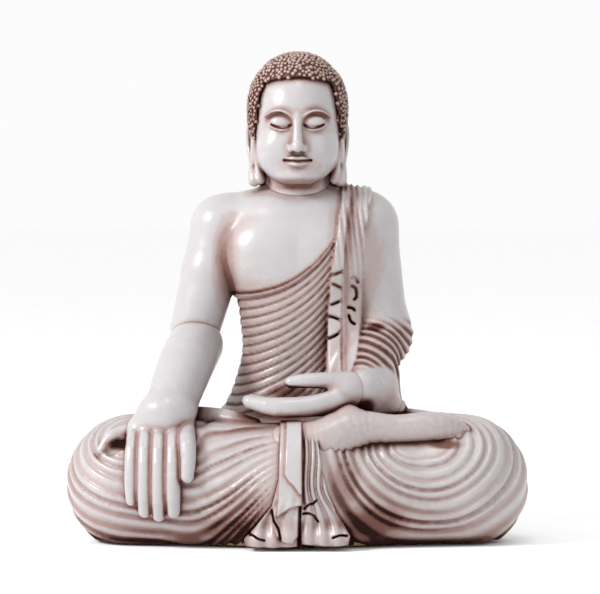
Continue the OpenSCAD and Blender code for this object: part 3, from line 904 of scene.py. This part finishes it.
def hair_shape(p):
    skull = egg(p, SKULL + vec(0, 1.5, 0.5), SKULL_HALF + vec(2.2, 1.2, 2.2))
    crown = egg(p, SKULL + vec(0, 2, 14), vec(34.5, 38, 29.5))
    knot = egg(p, vec(0, NECK[1] - 3, SKULL[2] + 31), vec(23, 26, 14.5))
    nape = egg(p, vec(0, NECK[1] + 14, SKULL[2] - 26), vec(30, 24, 22))
    temple = egg(mirrored(p), SKULL + vec(26, -4, -4), vec(11.5, 20, 34))
    cap = melt(8, melt(10, skull, crown, knot), nape, temple)
    return rounded(1.0, cap, hair_line(p), SKULL[2] - 44 - p[:, 2])


# ---------------------------------------------------------------- antique umber and painted shade


FAR = 60  # distance given to points that are near no piece
MARGIN = 12  # how far round a piece's box its field is asked
# How far off other surfaces shelter a point, and how much each reach counts: short reaches find the
# grooves that hold umber, long ones paint the shade between castings
REACHES = ((1.4, 0.5), (3.5, 0.5), (9, 0.3), (22, 0.14))


def nearest(p):
    """Distance to the nearest piece of the statue."""
    out = np.full(len(p), FAR, np.float32)
    for _, shape, low, high, _ in pieces.values():
        near = np.all((p > low - MARGIN) & (p < high + MARGIN), 1)
        if near.any():
            out[near] = np.minimum(out[near], shape(p[near]))
    return out


def shelter(points, normals):
    """How closed in each point is, from 0 in the open to 1 at the bottom of a groove: umber in
    grooves, painted shade in creases, between castings and near the floor.
    """
    out = np.zeros(len(points), np.float32)
    for reach, share in REACHES:
        room = nearest(points + reach * normals) / reach
        out += share * np.clip(1 - room, 0, 1)
    # Painted shade that deepens towards the floor.
    floor = np.clip(1 - (points[:, 2] - FLOOR) / 30, 0, 1)
    return np.clip(out + 0.25 * floor**2, 0, 1)


def corners(mesh, what="co"):
    """Places or normals of the corners of a mesh."""
    out = np.empty(len(mesh.vertices) * 3, np.float32)
    mesh.vertices.foreach_get(what, out)
    return out.reshape(-1, 3)


def set_attribute(piece, name, values):
    layer = piece.data.attributes.new(name, "FLOAT", "POINT")
    layer.data.foreach_set("value", np.asarray(values, np.float32))


SHADOW_AND_WASH_SPOTS = (  # painted shadow under and between parts, with umber pooled there: place, half widths, strength
    (vec(-14, -36, 103), vec(50, 54, 9), 1.0),  # under the hand in the lap
    (vec(-8, -30, 119), vec(34, 42, 11), 0.85),  # behind its palm
    (CUFF + vec(4, -8, -13), vec(10, 14, 11), 1.0),  # between wrist, sleeve and foot
    (CROOK + vec(17, -8, 10), vec(11, 12, 5), 0.6),  # in the crook of the sleeve
    (vec(85, -40, 104), vec(28, 14, 4), 0.7),  # where the sleeve lies on the thigh
    (HEM_SLIT[1], vec(17, 14, 6.5), 0.9),  # under the rolled hem
    (vec(118, -72, 82), vec(17, 14, 5), 0.55),  # under the toes
    (vec(36, -90, 56), vec(18, 24, 26), 0.26),  # beside the cloth over the shins
    (vec(62, -88, 22), vec(34, 24, 18), 0.32),
    (vec(-54, -88, 14), vec(32, 24, 16), 0.25),
    (vec(-60, 2, 222), vec(15, 36, 52), 0.22),  # between arm and chest
    (vec(30, NECK[1] + 2, CHIN_Z + 8), vec(7, 22, 15), 0.9),  # between the lobes and the neck
    (vec(-30, NECK[1] + 2, CHIN_Z + 8), vec(7, 22, 15), 0.9),
)


# How much the closing-in counts, as umber and painted shade, on a piece and on all others; and the
# even darkening some have all over: umber under the curls, painted shade on the foot and legs
WASH_AND_SHADE_SHARE = {"head_and_neck": 0.6, "torso_robe": 0.62, "legs_robe": 0.7}
WASH_AND_SHADE_SHARE_ELSEWHERE = 0.85
WASH_AND_SHADE_BASE = {"scalp": 0.45, "upturned_foot": 0.1, "legs_robe": 0.04}


def settle_wash_and_shade(piece, grooves, share, base):
    """Store on every corner an attribute for how dark it is: umber left in grooves and hollows, with
    painted shade in creases, under parts, between castings and near the floor.
    """
    points = corners(piece.data) / MM
    value = share * shelter(points, corners(piece.data, "normal"))
    # Painted shadows under and between parts, with umber pooled in them.
    for at, half, strength in SHADOW_AND_WASH_SPOTS:
        value += strength * smooth(1, 0.35, length((points - at) / half))
    if grooves is not None:
        value += grooves(points)
    set_attribute(piece, "wash_and_shade", np.clip(value + base, 0, 1))


# ---------------------------------------------------------------- materials


def linear(hex_code):
    """An sRGB hex colour as linear RGBA."""
    parts = [int(hex_code[i:i + 2], 16) / 255 for i in (0, 2, 4)]
    return (*[c / 12.92 if c <= 0.04045 else ((c + 0.055) / 1.055) ** 2.4 for c in parts], 1.0)


def add_node(tree, kind, settings, **links):
    """Add a node: settings name its properties and inputs, links its inputs with underscores."""
    made = tree.nodes.new(kind)
    for key, value in settings.items():
        if isinstance(key, str) and hasattr(made, key):
            setattr(made, key, value)
        else:
            made.inputs[key].default_value = value
    for key, socket in links.items():
        name = int(key[1:]) if key[0] == "i" and key[1:].isdigit() else key.replace("_", " ")
        tree.links.new(socket, made.inputs[name])
    return made


def per_metre(size_mm):
    """Noise scale whose features are about this many millimetres wide."""
    return 1000 / size_mm


def ramp(tree, stops, factor):
    """A colour ramp through (place, hex) stops."""
    made = add_node(tree, "ShaderNodeValToRGB", {}, Fac=factor)
    made.color_ramp.interpolation = "EASE"
    for _ in stops[2:]:
        made.color_ramp.elements.new(0.5)
    for element, (place, colour) in zip(made.color_ramp.elements, stops):
        element.position = place
        element.color = linear(colour) if isinstance(colour, str) else colour
    return made.outputs["Color"]


def new_material(name):
    made = bpy.data.materials.new(name)
    made.use_nodes = True
    tree = made.node_tree
    tree.nodes.clear()
    out = tree.nodes.new("ShaderNodeOutputMaterial")
    shader = tree.nodes.new("ShaderNodeBsdfPrincipled")
    tree.links.new(shader.outputs[0], out.inputs[0])
    place = tree.nodes.new("ShaderNodeTexCoord").outputs["Object"]
    return made, tree, shader, place


def cast_marble_resin(name, stops, mottle, gloss):
    """Polyester resin filled with marble flour, rubbed with thinned umber and waxed.

    The eye sees an ivory body with faint clouds, a soft depth at thin edges, brown in every hollow
    from the umber and from painted shade, pinpricks of umber in the casting's pores, and a thin
    glossy coat.
    """
    made, tree, shader, place = new_material(name)
    # The attribute holds how dark each corner is: umber in grooves and hollows, and painted shade in
    # creases, under parts and near the floor.
    wash_and_shade = add_node(tree, "ShaderNodeAttribute", {"attribute_name": "wash_and_shade"}).outputs["Fac"]
    clouds = add_node(tree, "ShaderNodeTexNoise", {"Scale": per_metre(14), "Detail": 5.0,
                                                   "Roughness": 0.6}, Vector=place)
    grime = add_node(tree, "ShaderNodeTexNoise", {"Scale": per_metre(5), "Detail": 4.0},
                     Vector=place)
    patch = add_node(tree, "ShaderNodeMath", {"operation": "MULTIPLY_ADD", 1: 0.5, 2: 0.75},
                     i0=clouds.outputs["Fac"])
    patchy_wash_and_shade = add_node(tree, "ShaderNodeMath", {"operation": "MULTIPLY"}, i0=wash_and_shade,
                    i1=patch.outputs[0])
    fine = add_node(tree, "ShaderNodeMath", {"operation": "MULTIPLY_ADD", 1: 0.14, 2: -0.07},
                    i0=grime.outputs["Fac"])
    pores = add_node(tree, "ShaderNodeTexVoronoi", {"Scale": per_metre(6)}, Vector=place)
    prick = add_node(tree, "ShaderNodeMapRange", {"From Min": 0.03, "From Max": 0.07,
                                                  "To Min": 0.14, "To Max": 0.0},
                     Value=pores.outputs["Distance"])
    mixed = add_node(tree, "ShaderNodeMath", {"operation": "ADD"}, i0=patchy_wash_and_shade.outputs[0],
                     i1=fine.outputs[0])
    total = add_node(tree, "ShaderNodeMath", {"operation": "ADD", "use_clamp": True},
                     i0=mixed.outputs[0], i1=prick.outputs["Result"])
    body = ramp(tree, stops, total.outputs[0])
    tint = add_node(tree, "ShaderNodeMix", {"data_type": "RGBA", "blend_type": "MULTIPLY",
                                            "Factor": mottle})
    tree.links.new(body, tint.inputs["A"])
    tree.links.new(ramp(tree, ((0.3, "E9DCD8"), (0.7, "FFFFFF")), clouds.outputs["Fac"]),
                   tint.inputs["B"])
    tree.links.new(tint.outputs["Result"], shader.inputs["Base Color"])
    for socket, bare, covered in (("Roughness", gloss, 0.75), ("Specular IOR Level", 0.42, 0.08),
                                  ("Coat Weight", 0.2, 0.0)):
        level = add_node(tree, "ShaderNodeMapRange", {"From Min": 0.1, "From Max": 0.65,
                                                      "To Min": bare, "To Max": covered},
                         Value=total.outputs[0])
        tree.links.new(level.outputs["Result"], shader.inputs[socket])
    relief = add_node(tree, "ShaderNodeMath", {"operation": "MULTIPLY_ADD", 1: 0.35},
                      i0=grime.outputs["Fac"], i2=clouds.outputs["Fac"])
    bump = add_node(tree, "ShaderNodeBump", {"Strength": 0.35, "Distance": 0.0006},
                    Height=relief.outputs[0])
    tree.links.new(bump.outputs[0], shader.inputs["Normal"])
    shader.inputs["IOR"].default_value = 1.5
    shader.inputs["Coat Roughness"].default_value = 0.2
    shader.inputs["Subsurface Weight"].default_value = 0.12
    shader.inputs["Subsurface Radius"].default_value = (1.0, 0.85, 0.8)
    shader.inputs["Subsurface Scale"].default_value = 0.0025
    return made


def grained(name, pattern, stops, relief, values, stretch=None):
    """A material whose colour and relief come from one noise pattern."""
    made, tree, shader, place = new_material(name)
    if stretch:
        place = add_node(tree, "ShaderNodeMapping", {"Scale": stretch}, Vector=place).outputs[0]
    grain = add_node(tree, "ShaderNodeTexNoise", pattern, Vector=place).outputs["Fac"]
    tree.links.new(ramp(tree, stops, grain), shader.inputs["Base Color"])
    bump = add_node(tree, "ShaderNodeBump", relief, Height=grain)
    tree.links.new(bump.outputs[0], shader.inputs["Normal"])
    for socket, value in values.items():
        shader.inputs[socket].default_value = value
    return made


def brushed_steel():
    """Drawn steel rod: grey, with fine lines along it and a broad soft glint."""
    return grained("drawn_steel", {"Scale": per_metre(0.8), "Detail": 3.0},
                   ((0.3, "8A8D90"), (0.7, "B9BBBD")), {"Strength": 0.2, "Distance": 0.0001},
                   {"Metallic": 1.0, "Roughness": 0.34}, stretch=(1, 1, 0.06))


def fibre_board():
    """Medium-density fibreboard: warm brown, matt, with short crossed fibres."""
    return grained("fibre_board", {"Scale": per_metre(1.6), "Detail": 6.0, "Distortion": 2.0},
                   ((0.3, "8F6F4E"), (0.7, "B3946D")), {"Strength": 0.3, "Distance": 0.0002},
                   {"Roughness": 0.8})


def pressed_felt():
    """Pressed wool felt: dark brown, no gloss, a fuzzy nap that lights up at grazing angles."""
    return grained("pressed_felt", {"Scale": per_metre(0.9), "Detail": 6.0, "Roughness": 0.8},
                   ((0.25, "35261F"), (0.75, "5A463B")), {"Strength": 0.8, "Distance": 0.0005},
                   {"Roughness": 0.95, "Sheen Weight": 0.4})


# ---------------------------------------------------------------- sizes and colours


class StatueSizes(bpy.types.PropertyGroup):
    """Sizes that change how finely the statue is sculpted, and its curls and its floor."""

    body_cell: FloatProperty(
        name="Body Grid", description="Side of a grid cell on the body and robe, in millimetres",
        default=1.42, min=0.8, max=6.0,
    )
    fine_cell: FloatProperty(
        name="Fine Grid", description="Side of a grid cell on hands, face and cloth ends, "
        "in millimetres", default=0.85, min=0.5, max=4.0,
    )
    curl_width: FloatProperty(
        name="Curl Width", description="Width of one curl of hair", default=3.8 * MM,
        unit="LENGTH",
    )
    curl_gap: FloatProperty(
        name="Curl Spacing", description="Least distance between two curls", default=2.8 * MM,
        unit="LENGTH",
    )
    curl_seed: IntProperty(
        name="Curl Seed", description="Seed of the curls' places and sizes", default=7,
    )
    floor_width: FloatProperty(
        name="Floor Width", description="Side of the studio floor", default=40.0, unit="LENGTH",
    )


class StatueColours(bpy.types.PropertyGroup):
    """Colours of the cast resin, and of the umber and painted shade laid over it from faint to deep.
    """

    marble: StringProperty(
        name="Marble", description="Hex colour of the bare resin", default="ABA8AA",
    )
    # The next four colours run from faint to deep; each stands for umber and painted shade together.
    blush: StringProperty(
        name="Blush", description="Hex colour of the faintest trace of wash", default="A49896",
    )
    veil: StringProperty(
        name="Veil", description="Hex colour of a thin film of wash", default="8F7975",
    )
    wash_and_shade: StringProperty(
        name="Wash", description="Hex colour of the wash in a fold", default="6B4C44",
    )
    pit: StringProperty(
        name="Pit", description="Hex colour of the wash in a deep hollow", default="2A1512",
    )


def ivory():
    """The body's material, made once."""
    made = bpy.data.materials.get("cast_marble_resin")
    if made is None:
        tones = bpy.context.scene.statue_colours
        made = cast_marble_resin(
            "cast_marble_resin",
            ((0.03, tones.marble), (0.15, tones.blush), (0.34, tones.veil), (0.62, tones.wash_and_shade),
             (1.0, tones.pit)),
            mottle=0.25, gloss=0.3,
        )
    return made


def finish_piece(piece, material):
    piece.data.materials.clear()
    piece.data.materials.append(material)


# ---------------------------------------------------------------- hair curls

HAIR_INSET = 0.4  # how far inside the hair line the curls grow
NAPE_DROP = 42  # how far below the middle of the skull the lowest ones are
CURL_DARKENING = (1.05, 0.62)  # how dark the curls stay, halfway up the skull and on the crown


def curl_tree(curl_material):
    """Curls scattered over the scalp: pebbles of hair with dark gaps between them."""
    tree = bpy.data.node_groups.new("hair_curls", "GeometryNodeTree")
    face = tree.interface
    face.new_socket("Scalp", in_out="INPUT", socket_type="NodeSocketGeometry")
    for name, kind in (("Curl Width", "NodeSocketFloat"), ("Curl Spacing", "NodeSocketFloat"),
                       ("Seed", "NodeSocketInt")):
        face.new_socket(name, in_out="INPUT", socket_type=kind)
    face.new_socket("Curls", in_out="OUTPUT", socket_type="NodeSocketGeometry")
    given = tree.nodes.new("NodeGroupInput").outputs
    out = tree.nodes.new("NodeGroupOutput")
    grows = add_node(tree, "GeometryNodeInputNamedAttribute",
                     {"data_type": "FLOAT", "Name": "grows"})
    picked = add_node(tree, "FunctionNodeCompare", {"operation": "GREATER_THAN", 1: 0.5},
                      i0=grows.outputs["Attribute"])
    spots = add_node(tree, "GeometryNodeDistributePointsOnFaces",
                     {"distribute_method": "POISSON", "Density Max": 400000.0},
                     Mesh=given["Scalp"], Selection=picked.outputs["Result"],
                     Distance_Min=given["Curl Spacing"], Seed=given["Seed"])
    pebble = add_node(tree, "GeometryNodeMeshUVSphere", {"Segments": 9, "Rings": 6})
    half = add_node(tree, "ShaderNodeMath", {"operation": "MULTIPLY", 1: 0.5},
                    i0=given["Curl Width"])
    tree.links.new(half.outputs[0], pebble.inputs["Radius"])
    place = add_node(tree, "GeometryNodeInputPosition", {})
    height = add_node(tree, "ShaderNodeSeparateXYZ", {}, Vector=place.outputs[0])
    low = add_node(tree, "ShaderNodeMath", {"operation": "MULTIPLY", 1: -0.1}, i0=half.outputs[0])
    high = add_node(tree, "ShaderNodeMath", {"operation": "MULTIPLY", 1: 0.95}, i0=half.outputs[0])
    # Each pebble darker low down than on top: painted shade and umber in the gaps between curls.
    depth = add_node(tree, "ShaderNodeMapRange", {"To Min": 1.0, "To Max": 0.1},
                     Value=height.outputs["Z"], From_Min=low.outputs[0], From_Max=high.outputs[0])
    pebble_wash_and_shade = add_node(tree, "GeometryNodeStoreNamedAttribute",
                      {"data_type": "FLOAT", "domain": "POINT", "Name": "wash_and_shade"},
                      Geometry=pebble.outputs["Mesh"], Value=depth.outputs["Result"])
    size = add_node(tree, "FunctionNodeRandomValue", {"data_type": "FLOAT", 2: 0.82, 3: 1.12},
                    Seed=given["Seed"])
    curls = add_node(tree, "GeometryNodeInstanceOnPoints", {}, Points=spots.outputs["Points"],
                     Instance=pebble_wash_and_shade.outputs["Geometry"], Rotation=spots.outputs["Rotation"],
                     Scale=size.outputs[1])
    real = add_node(tree, "GeometryNodeRealizeInstances", {}, Geometry=curls.outputs["Instances"])
    even = add_node(tree, "GeometryNodeSetShadeSmooth", {}, Geometry=real.outputs["Geometry"])
    dressed = add_node(tree, "GeometryNodeSetMaterial", {"Material": curl_material},
                       Geometry=even.outputs["Geometry"])
    tree.links.new(dressed.outputs["Geometry"], out.inputs["Curls"])
    return tree


def grow_curls(scalp, material):
    """A plain mesh of curls over a scalp."""
    sizes = bpy.context.scene.statue_sizes
    tree = curl_tree(material)
    holder = scalp.copy()
    holder.data = scalp.data.copy()
    bpy.context.scene.collection.objects.link(holder)
    modifier = holder.modifiers.new("curls", "NODES")
    modifier.node_group = tree
    values = {"Curl Width": sizes.curl_width, "Curl Spacing": sizes.curl_gap,
              "Seed": sizes.curl_seed}
    for item in tree.interface.items_tree:
        if item.item_type == "SOCKET" and item.in_out == "INPUT" and item.name in values:
            modifier[item.identifier] = values[item.name]
    graph = bpy.context.evaluated_depsgraph_get()
    mesh = bpy.data.meshes.new_from_object(holder.evaluated_get(graph), depsgraph=graph)
    mesh.name = "hair_curls"
    holder.modifiers.remove(modifier)
    bpy.data.objects.remove(holder)
    curls = bpy.data.objects.new("hair_curls", mesh)
    bpy.context.scene.collection.objects.link(curls)
    return curls


# ---------------------------------------------------------------- operators


class STATUE_OT_legs(bpy.types.Operator):
    """Sculpt the crossed legs under the robe"""

    bl_idname = "statue.legs"
    bl_label = "Legs"

    def execute(self, context):
        cell = LEGS_COARSER * context.scene.statue_sizes.body_cell
        sculpt("legs_robe", legs_shape, "legs", 4, 4, cell, leg_grooves)
        return {"FINISHED"}


class STATUE_OT_torso(bpy.types.Operator):
    """Sculpt the chest, the robe over it, the shoulder cloth and the sleeve"""

    bl_idname = "statue.torso"
    bl_label = "Torso"

    def execute(self, context):
        cell = context.scene.statue_sizes.body_cell
        sculpt("torso_robe", torso_shape, "torso", 4, 4, cell, torso_grooves)
        return {"FINISHED"}


class STATUE_OT_hands(bpy.types.Operator):
    """Sculpt the forearm with the resting hand, and the hand in the lap"""

    bl_idname = "statue.hands"
    bl_label = "Hands"

    def execute(self, context):
        cell = context.scene.statue_sizes.fine_cell
        sculpt("resting_arm", forearm_shape, "right_forearm", 6, 4, cell)
        sculpt("lap_hand", lap_hand_shape, "left_hand", 8, 6, cell, lap_hand_grooves)
        return {"FINISHED"}


class STATUE_OT_foot(bpy.types.Operator):
    """Sculpt the foot that lies on the thigh"""

    bl_idname = "statue.foot"
    bl_label = "Foot"

    def execute(self, context):
        cell = context.scene.statue_sizes.fine_cell
        sculpt("upturned_foot", foot_shape, "right_foot", 6, 6, cell)
        return {"FINISHED"}


class STATUE_OT_cloth(bpy.types.Operator):
    """Sculpt the pleated end of the robe over the shins"""

    bl_idname = "statue.cloth"
    bl_label = "Front Cloth"

    def execute(self, context):
        cell = context.scene.statue_sizes.fine_cell
        sculpt("pleated_end", cloth_shape, "front_cloth", 6, 4, cell)
        return {"FINISHED"}


class STATUE_OT_head(bpy.types.Operator):
    """Sculpt the head with its neck, its ears and the scalp under the curls"""

    bl_idname = "statue.head"
    bl_label = "Head"

    def execute(self, context):
        cell = context.scene.statue_sizes.fine_cell
        sculpt("head_and_neck", face_shape, "head", 5, 3, cell, face_grooves)
        sculpt("scalp", hair_shape, "head", 3, 3, SCALP_COARSER * cell)
        return {"FINISHED"}


class STATUE_OT_wash_and_shade(bpy.types.Operator):
    """Work out the umber left in hollows and the painted shade on every casting, and give every
    casting its material
    """

    bl_idname = "statue.wash"
    # The button lays painted shade as well as the antique umber.
    bl_label = "Antique Wash"

    def execute(self, context):
        if not pieces:
            raise RuntimeError("there is no casting to wash")
        material = ivory()
        for name, (piece, _, _, _, grooves) in pieces.items():
            share = WASH_AND_SHADE_SHARE.get(name, WASH_AND_SHADE_SHARE_ELSEWHERE)
            settle_wash_and_shade(piece, grooves, share, WASH_AND_SHADE_BASE.get(name, 0.0))
            finish_piece(piece, material)
        return {"FINISHED"}


class STATUE_OT_hair(bpy.types.Operator):
    """Grow the curls over the scalp"""

    bl_idname = "statue.hair"
    bl_label = "Hair"

    def execute(self, context):
        if "scalp" not in pieces:
            raise RuntimeError("the head comes before the hair")
        scalp = pieces["scalp"][0]
        tones = context.scene.statue_colours
        # The hair's tones follow the same umber and painted shade, deepest on the scalp between the
        # curls.
        hair = cast_marble_resin(
            "cast_marble_resin_hair",
            ((0.0, "B3A29C"), (0.25, "8C7269"), (0.55, "5A3D35"), (0.9, tones.pit)),
            mottle=0.5, gloss=0.3,
        )
        finish_piece(scalp, hair)
        points = corners(scalp.data) / MM
        inside = (hair_line(points) < -HAIR_INSET) & (points[:, 2] > SKULL[2] - NAPE_DROP)
        set_attribute(scalp, "grows", inside.astype(np.float32))
        curls = grow_curls(scalp, hair)
        self.lighten_crown(curls)
        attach(curls, "root")
        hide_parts("head")
        return {"FINISHED"}

    def lighten_crown(self, curls):
        """The curls of the crown are made lighter than those round the face."""
        height = corners(curls.data)[:, 2] / MM
        values = np.empty(len(height), np.float32)
        layer = curls.data.attributes["wash_and_shade"].data
        layer.foreach_get("value", values)
        values *= mix(*CURL_DARKENING, smooth(SKULL[2], HEAD_HIGH[2], height))
        layer.foreach_set("value", values)


class STATUE_OT_inner_parts(bpy.types.Operator):
    """Finish the dowels, the board and the felt pads"""

    bl_idname = "statue.inner_parts"
    bl_label = "Inner Parts"

    def execute(self, context):
        steel, board, felt = brushed_steel(), fibre_board(), pressed_felt()
        for name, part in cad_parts.items():
            if name.endswith(("dowel", "dowels")):
                finish_piece(part, steel)
            elif name == "base_plate":
                finish_piece(part, board)
            elif name == "felt_pads":
                finish_piece(part, felt)
        return {"FINISHED"}


class STATUE_OT_stage(bpy.types.Operator):
    """Lay the studio floor and set the lights and the camera"""

    bl_idname = "statue.stage"
    bl_label = "Stage"

    def execute(self, context):
        half = context.scene.statue_sizes.floor_width / 2
        floor = bpy.data.meshes.new("studio_floor")
        floor.from_pydata([(-half, -half, 0), (half, -half, 0), (half, half, 0), (-half, half, 0)],
                          [], [(0, 1, 2, 3)])
        ground = bpy.data.objects.new("studio_floor", floor)
        context.scene.collection.objects.link(ground)
        made, tree, shader, place = new_material("matt_white_paper")
        grain = add_node(tree, "ShaderNodeTexNoise", {"Scale": per_metre(60), "Detail": 3.0},
                         Vector=place)
        tree.links.new(ramp(tree, ((0.3, "FCFCFC"), (0.7, "FFFFFF")), grain.outputs["Fac"]),
                       shader.inputs["Base Color"])
        shader.inputs["Roughness"].default_value = 0.9
        finish_piece(ground, made)
        context.scene.view_settings.view_transform = "Standard"
        self.light(context)
        self.camera(context)
        return {"FINISHED"}

    def light(self, context):
        world = bpy.data.worlds.new("studio")
        world.use_nodes = True
        back = world.node_tree.nodes["Background"]
        back.inputs["Color"].default_value = linear("FFFFFF")
        back.inputs["Strength"].default_value = SKY
        context.scene.world = world
        for name, place, size, power in LAMPS:
            lamp = bpy.data.lights.new(name, "AREA")
            lamp.energy, lamp.size = power, size
            lit = bpy.data.objects.new(name, lamp)
            lit.location = place
            aim = Vector(LAMPS_AIM) - Vector(place)
            lit.rotation_euler = aim.to_track_quat("-Z", "Y").to_euler()
            context.scene.collection.objects.link(lit)

    def camera(self, context):
        lens = bpy.data.cameras.new("camera")
        lens.lens, lens.sensor_width = LENS, SENSOR
        eye = bpy.data.objects.new("camera", lens)
        tilt = math.radians(EYE_ANGLE)
        aim = Vector(AIM)
        eye.location = aim + EYE_DISTANCE * Vector((0, -math.cos(tilt), math.sin(tilt)))
        eye.rotation_euler = (math.pi / 2 - tilt, 0, 0)
        context.scene.collection.objects.link(eye)
        context.scene.camera = eye


class STATUE_PT_panel(bpy.types.Panel):
    """The statue's pieces, in the order they are made"""

    bl_idname = "STATUE_PT_panel"
    bl_label = "Seated Statue"
    bl_space_type = "VIEW_3D"
    bl_region_type = "UI"
    bl_category = "Statue"

    def draw(self, context):
        for group in (context.scene.statue_sizes, context.scene.statue_colours):
            for name in group.__annotations__:
                self.layout.prop(group, name)
        for operator in OPERATORS:
            self.layout.operator(operator.bl_idname)


OPERATORS = (
    STATUE_OT_legs, STATUE_OT_torso, STATUE_OT_hands, STATUE_OT_foot, STATUE_OT_cloth,
    STATUE_OT_head, STATUE_OT_wash_and_shade, STATUE_OT_hair, STATUE_OT_inner_parts, STATUE_OT_stage,
)
CLASSES = (StatueSizes, StatueColours, *OPERATORS, STATUE_PT_panel)


def register():
    for kind in CLASSES:
        bpy.utils.register_class(kind)
    bpy.types.Scene.statue_sizes = PointerProperty(type=StatueSizes)
    bpy.types.Scene.statue_colours = PointerProperty(type=StatueColours)


def unregister():
    del bpy.types.Scene.statue_colours
    del bpy.types.Scene.statue_sizes
    for kind in reversed(CLASSES):
        bpy.utils.unregister_class(kind)


def main():
    register()
    for operator in OPERATORS:
        group, name = operator.bl_idname.split(".")
        getattr(getattr(bpy.ops, group), name)()


if __name__ == "__main__":
    main()
